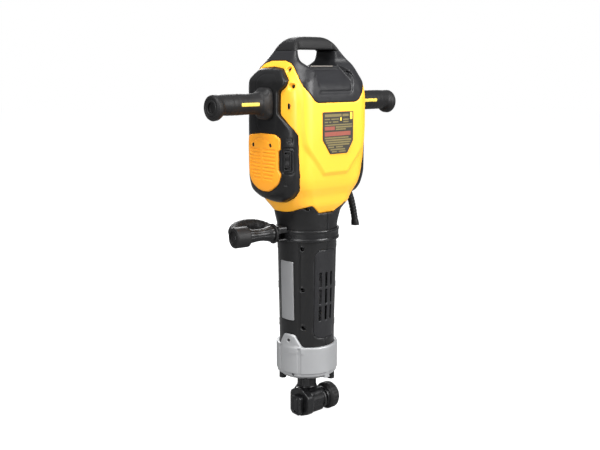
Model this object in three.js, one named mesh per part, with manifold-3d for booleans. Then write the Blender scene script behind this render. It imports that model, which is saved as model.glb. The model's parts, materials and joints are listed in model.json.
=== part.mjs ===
// Demolition hammer (heavy electric breaker), millimetres, +Z up.
// The impact axis is the Z axis. The origin is the middle of the tool socket's mouth.
// The T handle runs along X. The front face with the rating label looks along -Y.
import * as THREE from 'three';
import { mergeVertices } from 'three/addons/utils/BufferGeometryUtils.js';
import { ConvexGeometry } from 'three/addons/geometries/ConvexGeometry.js';
import Module from 'manifold-3d';

const wasm = await Module();
wasm.setup();

// ---------------------------------------------------------------- dimensions
const GAP = 0.3;                 // clearance kept between fitted pieces
const WALL = 4;                  // moulded shell wall
const HANDLE_Z = 690;            // height of the T handle's bar
const HANDLE_HALF = 256;         // half of the T handle's span
const GRIP_R = 21.5;             // rubber grip radius
const KNOB_R = 26;               // grip end flange radius
const TOP_Z = 827;               // top of the carrying handle
const ROOF_Z = 764;              // floor of the carrying handle's opening
const SKIRT_Z = 458;             // lower rim of the yellow body
const RING_R = 68;               // aluminium front housing radius
const RING_TOP = 163;            // its upper rim
const RING_BOTTOM = 90;          // its underside
const HEX_AF = 30;               // tool socket, across flats
const SOCKET_DEPTH = 106;        // tool socket depth
const BORE_R = 32;               // hammer cylinder bore
const CRANK_Z = 474;             // crankshaft height
const CRANK_R = 18;              // crank throw
const ROD_L = 96;                // connecting rod, centre to centre
const INTER_Z = 523;             // intermediate shaft height
const MOTOR_Z = 561.25;          // motor shaft height
const T_PINION = 7, T_WHEEL = 44, M1 = 1.5;      // first gear stage
const T_INTER = 11, T_CRANK = 38, M2 = 2;        // second gear stage
const BAND_Z = 409;              // side handle clamp band height
const SIDE_Z = 413;              // side handle bolt height
const SIDE_ANGLE = -8;           // side handle's turn about Z at rest, degrees
const LATCH_Y = -26, LATCH_Z = 30;               // tool retainer bolt axis (along X)

// body envelope: height, half width X, half depth Y, corner radius
const BODY = [
  [458, 65, 61, 40], [481, 78.5, 73, 40], [502, 89.5, 81.5, 40], [518, 96.2, 87.8, 40],
  [536, 100.5, 90.8, 40], [575, 103.5, 92.7, 39], [632, 105, 94, 38], [698, 105, 93, 38], [730, 102, 89, 40],
  [750, 95, 82, 42], [777, 80, 67, 40],
];

// ---------------------------------------------------------------- small tools
const V3 = (x, y, z) => new THREE.Vector3(x, y, z);

function man(geometry) {
  const g = geometry.clone();
  g.deleteAttribute('normal'); g.deleteAttribute('uv');
  const m = mergeVertices(g, 1e-4);
  const p = m.attributes.position.array, t = Uint32Array.from(m.index.array);
  let vol = 0;
  for (let i = 0; i < t.length; i += 3) {
    const a = t[i] * 3, b = t[i + 1] * 3, c = t[i + 2] * 3;
    vol += p[a] * (p[b + 1] * p[c + 2] - p[b + 2] * p[c + 1]) - p[a + 1] * (p[b] * p[c + 2] - p[b + 2] * p[c]) + p[a + 2] * (p[b] * p[c + 1] - p[b + 1] * p[c]);
  }
  if (vol < 0) for (let i = 0; i < t.length; i += 3) { const s = t[i]; t[i] = t[i + 1]; t[i + 1] = s; }
  return new wasm.Manifold(new wasm.Mesh({ numProp: 3, vertProperties: Float32Array.from(p), triVerts: t }));
}
function geo(m) {
  const k = m.getMesh();
  const g = new THREE.BufferGeometry();
  g.setAttribute('position', new THREE.BufferAttribute(Float32Array.from(k.vertProperties), 3));
  g.setIndex(Array.from(k.triVerts));
  g.computeVertexNormals();
  return g;
}
const add = (...s) => s.reduce((a, b) => a.add(b));
const cut = (a, ...s) => s.reduce((x, b) => x.subtract(b), a);
const both = (a, ...s) => s.reduce((x, b) => x.intersect(b), a);
const rad = THREE.MathUtils.degToRad;

function box(x0, x1, y0, y1, z0, z1) {
  const g = new THREE.BoxGeometry(x1 - x0, y1 - y0, z1 - z0);
  g.translate((x0 + x1) / 2, (y0 + y1) / 2, (z0 + z1) / 2);
  return man(g);
}
// cylinder or cone frustum along an axis; c holds the two other coordinates in x, y, z order
function rod(axis, r0, r1, a0, a1, c = [0, 0], n = 24, turn = 0) {
  const g = new THREE.CylinderGeometry(r1, r0, a1 - a0, n, 1);
  g.rotateY(turn);
  g.translate(0, (a0 + a1) / 2, 0);
  if (axis === 'z') { g.rotateX(Math.PI / 2); g.translate(c[0], c[1], 0); }
  if (axis === 'x') { g.rotateZ(-Math.PI / 2); g.translate(0, c[0], c[1]); }
  if (axis === 'y') { g.translate(c[0], 0, c[1]); }
  return man(g);
}
// solid of revolution about Z; the profile is a list of [radius, z]
function turned(profile, n = 24) {
  const g = new THREE.LatheGeometry(profile.map((q) => new THREE.Vector2(q[0], q[1])), n);
  g.rotateX(Math.PI / 2);
  return man(g);
}
const closed = (p) => [...p, p[0]];
// outline with rounded corners; each point is [a, b, radius]
function rounded(pts, n = 3) {
  const out = [];
  const N = pts.length;
  for (let i = 0; i < N; i++) {
    const [px, py] = pts[(i + N - 1) % N], [x, y, r = 0] = pts[i], [qx, qy] = pts[(i + 1) % N];
    if (!r) { out.push([x, y]); continue; }
    const a = new THREE.Vector2(px - x, py - y), b = new THREE.Vector2(qx - x, qy - y);
    const la = a.length(), lb = b.length();
    a.divideScalar(la); b.divideScalar(lb);
    const half = Math.acos(Math.max(-1, Math.min(1, a.dot(b)))) / 2;
    const d = Math.min(r / Math.tan(half), la * 0.49, lb * 0.49);
    for (let k = 0; k <= n; k++) {
      const t = k / n;
      out.push([
        (1 - t) * (1 - t) * (x + a.x * d) + 2 * t * (1 - t) * x + t * t * (x + b.x * d),
        (1 - t) * (1 - t) * (y + a.y * d) + 2 * t * (1 - t) * y + t * t * (y + b.y * d)]);
    }
  }
  return out;
}
// straight prism of an outline: plane 'xy' rises along z, 'xz' runs along y, 'yz' runs along x
function prism(plane, pts, d0, d1) {
  const s = new THREE.Shape(pts.map((q) => new THREE.Vector2(q[0], q[1])));
  const g = new THREE.ExtrudeGeometry(s, { depth: d1 - d0, bevelEnabled: false, steps: 1 });
  const m = new THREE.Matrix4();
  if (plane === 'xy') m.makeTranslation(0, 0, d0);
  if (plane === 'yz') m.set(0, 0, 1, d0, 1, 0, 0, 0, 0, 1, 0, 0, 0, 0, 0, 1);
  if (plane === 'xz') m.set(1, 0, 0, 0, 0, 0, -1, d1, 0, 1, 0, 0, 0, 0, 0, 1);
  g.applyMatrix4(m);
  return man(g);
}
const hull = (pts) => man(new ConvexGeometry(pts));
// rounded rectangle ring at one height
function ring(z, A, B, R, n = 3, cx = 0, cy = 0) {
  const out = [];
  for (const [sx, sy, s] of [[1, 1, 0], [-1, 1, 90], [-1, -1, 180], [1, -1, 270]]) {
    for (let k = 0; k <= n; k++) {
      const a = rad(s + (90 * k) / n);
      out.push(V3(cx + sx * (A - R) + R * Math.cos(a), cy + sy * (B - R) + R * Math.sin(a), z));
    }
  }
  return out;
}
function moved(m, x, y, z) {
  const g = geo(m); g.translate(x, y, z); return man(g);
}
function turnedZ(m, deg) {
  const g = geo(m); g.rotateZ(rad(deg)); return man(g);
}
// tube of a round section along a smooth path
function swept(points, r, steps, sides, close = false, section = null) {
  const path = new THREE.CatmullRomCurve3(points.map((q) => V3(...q)), close, 'centripetal');
  const s = new THREE.Shape();
  const sec = section || Array.from({ length: sides }, (_, k) => [r * Math.cos((2 * Math.PI * k) / sides), r * Math.sin((2 * Math.PI * k) / sides)]);
  s.setFromPoints(sec.map((q) => new THREE.Vector2(q[0], q[1])));
  return man(new THREE.ExtrudeGeometry(s, { steps, extrudePath: path, bevelEnabled: false }));
}
// spur gear along X, tooth tips kept just inside the pitch circle
function gear(teeth, module_, x0, x1, z, phase = 0) {
  const tip = (teeth * module_) / 2 - 0.15, root = tip - module_ * 0.9;
  const pts = [];
  for (let i = 0; i < teeth; i++) {
    const a = (2 * Math.PI * (i + phase)) / teeth, w = Math.PI / teeth;
    if (teeth > 20) {
      pts.push([root * Math.cos(a - w), root * Math.sin(a - w)]);
      pts.push([tip * Math.cos(a), tip * Math.sin(a)]);
      continue;
    }
    pts.push([root * Math.cos(a - 0.55 * w), root * Math.sin(a - 0.55 * w)]);
    pts.push([tip * Math.cos(a - 0.28 * w), tip * Math.sin(a - 0.28 * w)]);
    pts.push([tip * Math.cos(a + 0.28 * w), tip * Math.sin(a + 0.28 * w)]);
    pts.push([root * Math.cos(a + 0.55 * w), root * Math.sin(a + 0.55 * w)]);
  }
  const g = prism('yz', pts, x0, x1);
  return moved(g, 0, 0, z);
}

// ---------------------------------------------------------------- scene graph
const tool = new THREE.Group();
tool.name = 'demolition_hammer';
const MAT = {
  yellow: { color: 0xf5b316, roughness: 0.45, metalness: 0 },
  orange: { color: 0xf09a1c, roughness: 0.5, metalness: 0 },
  black: { color: 0x2b2b2d, roughness: 0.6, metalness: 0 },
  cover: { color: 0x3c3c40, roughness: 0.55, metalness: 0 },
  rubber: { color: 0x2a2928, roughness: 0.85, metalness: 0 },
  alloy: { color: 0xb4b5b8, roughness: 0.45, metalness: 0.7 },
  steel: { color: 0x8c8e92, roughness: 0.35, metalness: 0.9 },
  dark: { color: 0x26272a, roughness: 0.5, metalness: 0.4 },
  copper: { color: 0xb06a34, roughness: 0.4, metalness: 0.9 },
  carbon: { color: 0x1a1a1a, roughness: 0.8, metalness: 0.1 },
  plate: { color: 0x9a9b9d, roughness: 0.4, metalness: 0.6 },
  board: { color: 0x1e5c3a, roughness: 0.6, metalness: 0 },
};
function part(name, solid, mat, parent = tool) {
  const mesh = new THREE.Mesh(geo(solid), new THREE.MeshStandardMaterial(MAT[mat]));
  mesh.name = name;
  parent.add(mesh);
  return mesh;
}

// ---------------------------------------------------------------- body shells
const envelope = hull(BODY.flatMap(([z, A, B, R]) => ring(z, A, B, R)));
// inside of the envelope, open at the bottom, with its roof at the given height
const inside = (roof) => hull([...ring(444, 52, 48, 28), ...BODY.flatMap(([z, A, B, R]) => ring(Math.min(z, roof), A - WALL, B - WALL, R - WALL))]);
const hollow = inside(BODY[BODY.length - 1][0] - WALL);
const shellAll = cut(envelope, hollow);

// the black upper cover: everything above a front line and above a side line
const FRONT_LINE = [[-52, 692], [-60, 696], [-72, 710.5], [-91, 725], [-102, 731], [-125, 738]];
const SIDE_LINE = [[-40, 775.5], [-52, 770.5], [-64, 759], [-75, 746], [-86, 728], [-93, 690]];
function above(line, far, top, d) {
  const left = line.map(([a, b]) => [a, b + d]).reverse();
  const right = line.map(([a, b]) => [-a, b + d]);
  return [[-far, left[0][1]], ...left, ...right, [far, left[0][1]], [far, top], [-far, top]];
}
const topRegion = (d) => both(prism('xz', above(FRONT_LINE, 140, 900, d), -120, 120), add(prism('yz', above(SIDE_LINE, 120, 900, d), -140, 140), box(-66 + d, 66 - d, -110, 110, 660, 900)));

// side housing outline on the Y-Z plane and its bulge in plan
const HOUSING = [[-34, 714, 6], [-51, 727, 4], [-53, 737, 5], [-42, 747, 6], [-27, 760, 8], [4, 764, 0], [42, 761, 8], [66, 742, 8], [77, 716, 0],
  [80, 625, 0], [79, 548, 20], [66, 508, 22], [38, 489, 14], [8, 483, 0], [-24, 485, 10], [-57, 497, 14], [-75, 515, 14], [-81, 542, 12],
  [-82, 598, 10], [-78, 629, 8], [-69, 638, 4], [-45, 659, 5], [-34, 668, 6]];
function housingOutline(d) {
  const pts = rounded(HOUSING, 1);
  if (!d) return pts;
  const c = pts.map((p, i) => {
    const a = pts[(i + pts.length - 1) % pts.length], b = pts[(i + 1) % pts.length];
    const tx = b[0] - a[0], ty = b[1] - a[1], l = Math.hypot(tx, ty);
    return [p[0] - (ty / l) * d, p[1] + (tx / l) * d];
  });
  return c;
}
const PLAN = [[88, -82], [94, -78], [107, -63], [112, -46], [114.5, -18], [114.5, 22], [111, 52], [103, 71], [84, 86]];
const RISE = [[481, 26], [491, 12], [510, 3], [540, 0], [735, 0], [751, 8], [766, 24]];
function bulge(side, inset) {
  const pts = [];
  for (const [z, dx] of RISE) {
    const zz = Math.max(481 + inset, Math.min(766 - inset, z));
    for (const [x, y] of PLAN) pts.push(V3(side * (x - dx - inset), y * (1 - inset / 90), zz));
    pts.push(V3(side * 30, -80, zz), V3(side * 30, 80, zz));
  }
  return hull(pts);
}
const outlineSolid = (side, d) => (side < 0 ? prism('yz', housingOutline(d), -130, -62) : prism('yz', housingOutline(d), 62, 130));

// body skirt: raised notch at the two front corners where the neck's tabs reach up
const notch = (sx, d) => prism('yz', [[-40 + d, 440], [-40 + d, 463], [-48, 478 + d], [-62, 482 + d], [-90, 482 + d], [-90, 440]], sx < 0 ? -90 : 38 - d, sx < 0 ? -38 + d : 90);
let yellow = cut(shellAll, topRegion(-GAP), outlineSolid(-1, GAP), outlineSolid(1, GAP), notch(-1, GAP), notch(1, GAP));
// four recessed screw seats beside the top cover
for (const sx of [-1, 1]) for (const [y, z] of [[-48, 757], [-60, 724]]) yellow = cut(yellow, rod('x', 4, 4, sx < 0 ? -125 : 60, sx < 0 ? -60 : 125, [y, z], 8));
const SPLIT_Y = 52;
const frontHalf = box(-140, 140, -130, SPLIT_Y - GAP / 2, 400, 900);
const rearHalf = box(-140, 140, SPLIT_Y + GAP / 2, 130, 400, 900);
function largest(m) { const parts = m.decompose(); return parts.reduce((a, b) => (b.volume() > a.volume() ? b : a)); }
part('body_shell', largest(both(yellow, frontHalf)), 'yellow');
part('rear_shell', largest(both(yellow, rearHalf)), 'yellow');

// upper cover with its flared feet and the hand opening's floor
const flare = hull([...ring(776, 80, 66, 38), ...ring(786, 73, 48, 18), ...ring(797.5, 64.5, 36.5, 8)]);
const OPENING = [[-43.5, ROOF_Z], [43.5, ROOF_Z], [52.5, 784], [53, 798], [53, 830], [-53, 830], [-53, 798], [-52.5, 784]];
let cover = both(add(cut(envelope, inside(ROOF_Z - 5)), cut(flare, box(-200, 200, -200, 200, 700, 776.5))), topRegion(0));
cover = add(cover, flare);
// panel that leans back between the two feet, front and rear
for (const s of [-1, 1]) {
  const flip = (pts) => (s < 0 ? pts : pts.map(([y, z]) => [-y, z]).reverse());
  cover = add(cover, both(envelope, prism('yz', flip([[-120, 718], [-83, 718], [-41, 763], [-41, 766], [-120, 766]]), -54, 54), topRegion(0)));
  cover = cut(cover, prism('yz', flip([[-140, 722], [-90, 722], [-84, 731], [-50, 764.5], [-50, 766], [-30, 781], [-27, 798], [-27, 830], [-140, 830]]), -50, 50));
}
// slanted inner faces of the handle's legs, one per corner of the hand opening
const slant = [];
for (const s of [-1, 1]) {
  for (const t of [-1, 1]) {
    const pts = [];
    for (const [y, z] of [[30, 781], [27, 830], [140, 830], [140, 770], [48, 770]]) {
      pts.push(new THREE.Vector3(t * 49.9, s * y, z), new THREE.Vector3(t * 100, s * (y + 50), z));
    }
    slant.push(hull(pts));
  }
}
cover = cut(cover, ...slant);
cover = cut(cover, prism('xz', OPENING, -120, 120));
// shallow moulded recess on the front panel
cover = cut(cover, prism('xz', rounded([[-46, 711, 3], [44, 711, 4], [47, 735, 3], [44, 735, 1], [41, 715, 2], [-46, 715, 1]], 1), -93, -87.2));
part('top_cover', largest(cover), 'cover');

// carrying handle: a bar on two short legs
let bar = hull([...ring(798, 64, 36, 8), ...ring(812, 56, 30, 10), ...ring(821, 45, 24, 12), ...ring(TOP_Z, 26, 14, 10)]);
bar = cut(bar, box(-50, 50, 27, 140, 790, 830), box(-50, 50, -140, -27, 790, 830), ...slant);
bar = cut(bar, prism('xz', [[-52, 790], [52, 790], [52, 799.5], [-52, 799.5]], -60, 60));
bar = both(bar, box(-100, 100, -60, 60, 797.8, 900));
part('carry_handle', largest(bar), 'rubber');

// ---------------------------------------------------------------- side housings and vent covers
const COVER = [[-44, 547, 8], [-35, 528, 14], [0, 513, 12], [22, 511, 0], [50, 522, 14], [66, 545, 12], [69, 606, 0], [64, 624, 8], [17, 629, 6], [-28, 627, 8], [-42, 619, 6], [-42, 598, 0], [-37, 593, 2], [-37, 556, 2]];
function coverOutline(d) {
  const pts = rounded(COVER, 1);
  const cx = pts.reduce((s, p) => s + p[0], 0) / pts.length, cy = pts.reduce((s, p) => s + p[1], 0) / pts.length;
  return pts.map(([a, b]) => { const l = Math.hypot(a - cx, b - cy); return [a + ((a - cx) / l) * d, b + ((b - cy) / l) * d]; });
}
for (const [side, word] of [[-1, 'left'], [1, 'right']]) {
  const x0 = side < 0 ? -130 : 60, x1 = side < 0 ? -60 : 130;
  const outer = bulge(side, 0), inner = bulge(side, WALL);
  let h = both(cut(outer, inner), outlineSolid(side, 0));
  h = both(h, side < 0 ? box(-130, -66, -100, 100, 470, 780) : box(66, 130, -100, 100, 470, 780));
  // seat for the vent cover and the window behind it
  const lip = cut(bulge(side, -3), bulge(side, 2.3));
  h = cut(h, both(lip, prism('yz', coverOutline(GAP), x0, x1)));
  h = cut(h, prism('yz', coverOutline(-7), x0, x1));
  // upright slot for the floating handle bar
  h = cut(h, prism('yz', rounded([[-16, HANDLE_Z - 25, 15], [16, HANDLE_Z - 25, 15], [16, HANDLE_Z + 25, 15], [-16, HANDLE_Z + 25, 15]], 3), x0, x1));
  if (side < 0) {
    // opening for the power switch
    const w = turnedZ(box(-20, 20, -8.3, 8.3, 555 - 0.3, 596 + 0.3), 24);
    h = cut(h, moved(w, -104, -59, 0));
  } else {
    // gland hole for the cord guard
    h = cut(h, rod('z', 8.8, 8.8, 470, 520, [103, -20], 14));
  }
  part(word + '_side_housing', largest(h), 'black');
  let c = both(cut(bulge(side, -1.2), bulge(side, 1.9)), prism('yz', coverOutline(0), x0, x1));
  for (let i = 0; i < 9; i++) {
    const z = 598 - 7.6 * i, k = i < 6 ? 0 : (i - 5) * 3;
    c = cut(c, box(x0, x1, 18, 58 - k * 1.6, z - 1.5, z + 1.5), box(x0, x1, -31 + k, 10, z - 1.5, z + 1.5));
  }
  for (const [y, z] of [[43, 605], [-14, 606]]) c = cut(c, rod('x', 3, 3, x0, x1, [y, z], 8));
  part(word + '_vent_cover', largest(c), 'orange');
}

// ---------------------------------------------------------------- rating label plate
const LABEL = [[-43, 673], [44, 673], [44, 612], [27, 586.5], [-20, 586.5], [-43, 617]];
part('rating_label', both(prism('xz', LABEL, -96.2, -93.4), add(box(-60, 60, -96, -94.45, 560, 700))), 'plate');

// ---------------------------------------------------------------- neck sleeve
const NECK_IN = [[56.5, 131], [60.4, 390], [63.2, 440], [63.6, 456.5]];
const neckOuter = [[60, 131], [60.2, 190], [64.2, 394], [65.2, 424], [67.3, 457.5]];
const neckSolid = turned(closed([...neckOuter, ...NECK_IN.slice().reverse().map(([r, z]) => [r - 0.6, z])]), 24);
const VENT_HALF = 27.5;
function wedge(deg, half, r, z0, z1) {
  const pts = [[0, 0]];
  for (let k = 0; k <= 4; k++) { const a = rad(deg - half + (2 * half * k) / 4); pts.push([r * Math.cos(a), r * Math.sin(a)]); }
  return prism('xy', pts, z0, z1);
}
const tab = (sx) => {
  // corner tab that reaches up over the body's skirt, with its screw seat
  const skin = cut(hull(BODY.slice(0, 4).flatMap(([z, A, B, R]) => ring(z, A - 0.2, B - 0.2, R - 0.2))), hollow);
  const t = both(skin, notch(sx, 0), box(-100, 100, -100, 0, 458, 490));
  return t;
};
const riser = (sx) => both(turned(closed([[62.9, 452], [66.8, 456], [71.5, 458], [71.5, 461.5], [62.9, 461.5]]), 24), notch(sx, -0.5), box(-100, 100, -100, 0, 440, 480));
for (const [sx, word] of [[-1, 'left'], [1, 'right']]) {
  let h = add(neckSolid, riser(sx), tab(sx));
  h = both(h, sx < 0 ? box(-100, -GAP / 2, -100, 100, 100, 500) : box(GAP / 2, 100, -100, 100, 100, 500));
  h = cut(h, wedge(-90, VENT_HALF, 90, 182, 378), wedge(90, VENT_HALF, 90, 182, 378));
  for (const z of [381, 291, 206]) for (const y of [-39, 39]) h = cut(h, rod('x', 4.2, 4.2, sx < 0 ? -80 : 40, sx < 0 ? -40 : 80, [y, z], 8));
  h = cut(h, rod('x', 3.6, 3.6, sx < 0 ? -80 : 30, sx < 0 ? -30 : 80, [-58, 470], 8));
  if (sx < 0) h = cut(h, both(cut(rod('z', 70, 70, 220, 353, [0, 0], 24), turned([[0, 219], [59.1, 219], [61.6, 354], [0, 354]], 24)), wedge(182, 18.6, 90, 221 - GAP, 352 + GAP)));
  part('neck_sleeve_' + word, largest(h), 'black');
}
for (const [a, word] of [[-90, 'front'], [90, 'rear']]) {
  let g = both(turned(closed([[61.4, 181], [65.3, 379], [61.3, 379], [57.2, 181]]), 32), wedge(a, VENT_HALF - 0.3, 90, 182 + GAP, 378 - GAP));
  for (const d of [-14.5, 0, 14.5]) for (const z of [237, 274.5, 312]) g = cut(g, wedge(a + d, 2.1, 90, z - 16.5, z + 16.5));
  part('neck_vent_' + word, largest(g), 'cover');
}
part('nameplate', both(cut(turned([[0, 221], [61.3, 221], [63.8, 352], [0, 352]], 24), turned([[0, 219], [59.5, 219], [62.0, 354], [0, 354]], 24)), wedge(182, 18.2, 90, 222, 351)), 'plate');

// ---------------------------------------------------------------- aluminium front housing
let alloy = turned(closed([[RING_R - 1, RING_TOP], [60.5, RING_TOP], [60.5, 112], [34.6, 112], [34.6, RING_BOTTOM], [56, RING_BOTTOM], [RING_R - 2.5, 96.5], [RING_R, 100], [RING_R, RING_TOP - 1]]), 24);
for (const a of [191, 11]) {
  const c = Math.cos(rad(a)), s = Math.sin(rad(a));
  const ear = both(turned(closed([[66.8, 158], [66.8, 196], [60.9, 196], [60.5, 158]]), 24),
    turnedZ(prism('yz', rounded([[-30, 158, 0], [30, 158, 0], [24, 172, 6], [13, 190, 8], [-13, 190, 8], [-24, 172, 6]], 2), 20, 90), a));
  alloy = add(alloy, ear);
  alloy = cut(alloy, turnedZ(rod('x', 3.4, 3.4, 40, 90, [0, 177], 10), a));
}
const BOLT_R = 54;
for (let i = 0; i < 4; i++) {
  const a = rad(45 + 90 * i), x = BOLT_R * Math.cos(a), y = BOLT_R * Math.sin(a);
  alloy = cut(alloy, rod('z', 4.4, 4.4, 80, 106, [x, y], 8));
}
part('front_housing', alloy, 'alloy');
for (let i = 0; i < 4; i++) {
  const a = rad(45 + 90 * i), x = BOLT_R * Math.cos(a), y = BOLT_R * Math.sin(a);
  let b = add(rod('z', 8, 8, 74, RING_BOTTOM - GAP, [x, y], 12), rod('z', 4, 4, 85, 105, [x, y], 8));
  b = cut(b, rod('z', 4.2, 4.2, 70, 81, [x, y], 6));
  part('front_bolt_' + (i + 1), b, 'dark');
}

// ---------------------------------------------------------------- tool holder
const hexR = HEX_AF / 2 / Math.cos(Math.PI / 6);
let holder = turned([[0, 0], [25, 0], [27, 2], [27, 52], [22, 57], [21, 62], [21, 82], [38, 84.5], [38, RING_BOTTOM - GAP], [34.2, RING_BOTTOM - GAP], [34.2, 116], [0, 116]], 24);
const flangePlate = prism('yz', rounded([[4, 4, 8], [4, 52, 12], [-10, 62, 10], [-32, 64, 8], [-55, 50, 10], [-57, 30, 0], [-55, 12, 10], [-32, 3, 10], [-14, 1, 6]], 1), -46, -30);
holder = add(holder,
  hull([...ring(3, 24, 24, 14), ...ring(54, 24, 24, 14), V3(-24, -46, 30), V3(12, -46, 30), V3(-24, -42, 48), V3(12, -42, 48), V3(-24, -42, 12), V3(12, -42, 12)]),
  rod('x', 20.5, 20.5, -38, 14, [LATCH_Y, LATCH_Z], 20), flangePlate, rod('x', 24, 24, 12, 17, [LATCH_Y, LATCH_Z], 20));
// the knob's side is scalloped so that the knob can be pushed in
holder = cut(holder, rod('x', 32, 32, 17.2, 60, [LATCH_Y, LATCH_Z], 20), rod('z', hexR, hexR, -5, SOCKET_DEPTH, [0, 0], 6, 0), rod('z', 17.6, 17.6, SOCKET_DEPTH - 1, 120, [0, 0], 24), rod('x', 10.4, 10.4, -60, 30, [LATCH_Y, LATCH_Z], 16));
part('tool_holder', largest(holder), 'dark');

// retainer: cross bolt with a slotted plate at one end and a knob at the other
let bolt = add(rod('x', 9.8, 9.8, -53, 44, [LATCH_Y, LATCH_Z], 16), prism('yz', rounded([[-11, 8, 6], [-11, 50, 8], [-41, 50, 8], [-41, 14, 6], [-34, 6, 5]], 2), -57, -46.4));
bolt = cut(bolt, rod('x', 2.6, 2.6, -60, -50, [LATCH_Y + 6, 17], 10));
part('retainer_bolt', bolt, 'dark');
part('retainer_collar', cut(rod('x', 22, 23.5, 21.6, 26.6, [LATCH_Y, LATCH_Z], 20), rod('x', 10.2, 10.2, 10, 40, [LATCH_Y, LATCH_Z], 16)), 'dark');
let latchKnob = add(
  rod('x', 25, 30, 26.9, 31, [LATCH_Y, LATCH_Z], 20),
  rod('x', 30, 30, 30.9, 48, [LATCH_Y, LATCH_Z], 20),
  rod('x', 30, 24, 47.9, 55, [LATCH_Y, LATCH_Z], 20));
latchKnob = cut(latchKnob, rod('x', 10.1, 10.1, 20, 44.4, [LATCH_Y, LATCH_Z], 16));
part('retainer_knob', latchKnob, 'rubber');

// ---------------------------------------------------------------- hammer mechanism
part('beat_piece_sleeve', cut(rod('z', 40, 40, 116.4, 189, [0, 0], 24), rod('z', 17.6, 17.6, 110, 151, [0, 0], 24), rod('z', 22.5, 22.5, 150, 195, [0, 0], 24)), 'steel');
part('beat_piece', turned([[0, 108], [15, 108], [17.2, 110], [17.2, 151.4], [22, 153.4], [22, 171], [17.2, 173], [17.2, 191], [15, 192.6], [0, 192.6]], 24), 'steel');
// the cylinder's lower end closes over the beat piece's collar
part('cylinder_tube', cut(rod('z', 37, 37, 189.3, 426, [0, 0], 24), rod('z', BORE_R, BORE_R, 204.3, 440, [0, 0], 24), rod('z', 17.6, 17.6, 180, 210, [0, 0], 24)), 'steel');
part('ram', turned([[0, 205], [28, 205], [31.6, 208], [31.6, 262], [0, 262]], 24), 'steel');
const PISTON_Z = 307;
part('piston', turned([[0, PISTON_Z], [31.6, PISTON_Z], [31.6, PISTON_Z + 65], [28.7, PISTON_Z + 65], [28.7, PISTON_Z + 8.5], [0, PISTON_Z + 8.5]], 24), 'alloy');

// crank train: crank pin at the bottom of its circle at rest
const pinZ = CRANK_Z - CRANK_R;
part('crankshaft', add(rod('x', 34, 34, 12.5, 20, [0, CRANK_Z], 16), rod('x', 8, 8, -10, 13, [0, pinZ], 12), rod('x', 9, 9, 19.5, 57, [0, CRANK_Z], 12)), 'steel');
let crankGear = gear(T_CRANK, M2, 32, 41, CRANK_Z);
crankGear = cut(crankGear, rod('x', 9.3, 9.3, 30, 45, [0, CRANK_Z], 12));
for (let i = 0; i < 4; i++) crankGear = cut(crankGear, rod('x', 7, 7, 30, 45, [21 * Math.cos(rad(90 * i)), CRANK_Z + 21 * Math.sin(rad(90 * i))], 8));
part('crank_gear', crankGear, 'steel');
const rodEndZ = pinZ - ROD_L;
let conrod = add(rod('x', 14, 14, -6, 6, [0, pinZ], 16), rod('x', 8, 8, -6, 6, [0, rodEndZ], 12), box(-4, 4, -6.5, 6.5, rodEndZ + 4, pinZ - 10));
conrod = cut(conrod, rod('x', 8.4, 8.4, -20, 20, [0, pinZ], 12), rod('x', 4.3, 4.3, -20, 20, [0, rodEndZ], 12));
part('connecting_rod', conrod, 'steel');
part('wrist_pin', rod('x', 4, 4, -9, 9, [0, rodEndZ], 12), 'steel');

// gear case: seat ring on the cylinder, bearing wall, outer cover
let gearCase = add(rod('z', 55, 55, 426.4, 434, [0, 0], 24),
  prism('yz', rounded([[-40, 433, 0], [40, 433, 0], [44, 500, 10], [44, 600, 16], [-44, 600, 16], [-44, 500, 10]], 2), 22.3, 30));
gearCase = cut(gearCase, rod('z', 33, 33, 420, 434.5, [0, 0], 24), rod('x', 16.4, 16.4, 20, 33, [0, CRANK_Z], 20), rod('x', 6.6, 6.6, 20, 33, [0, INTER_Z], 12), rod('x', 13.4, 13.4, 20, 33, [0, MOTOR_Z], 16));
for (const y of [-38, 38]) gearCase = add(gearCase, rod('x', 4, 4, 29.5, 51.7, [y * 1.0, 523 - 0], 10));
part('gear_case', largest(gearCase), 'alloy');
let gearCover = prism('yz', rounded([[-15, 461, 12], [15, 461, 12], [18, 500, 6], [43, 515, 6], [43, 531, 6], [16, 560, 4], [14, 574, 10], [-14, 574, 10], [-16, 560, 4], [-43, 531, 6], [-43, 515, 6], [-18, 500, 6]], 1), 52, 57);
gearCover = cut(gearCover, rod('x', 9.4, 9.4, 50, 60, [0, CRANK_Z], 12), rod('x', 6.5, 6.5, 50, 60, [0, INTER_Z], 12), rod('x', 4.6, 4.6, 50, 60, [0, MOTOR_Z], 12));
part('gear_cover', gearCover, 'alloy');
part('crank_bearing', cut(rod('x', 16.1, 16.1, 22.6, 29.7, [0, CRANK_Z], 20), rod('x', 9.35, 9.35, 20, 33, [0, CRANK_Z], 12)), 'steel');
let inter = add(rod('x', 6, 6, 22.6, 56.7, [0, INTER_Z], 12), gear(T_INTER, M2, 32, 42.2, INTER_Z, 0.5), gear(T_WHEEL, M1, 43.5, 50, INTER_Z));
part('intermediate_shaft', inter, 'steel');

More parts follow.
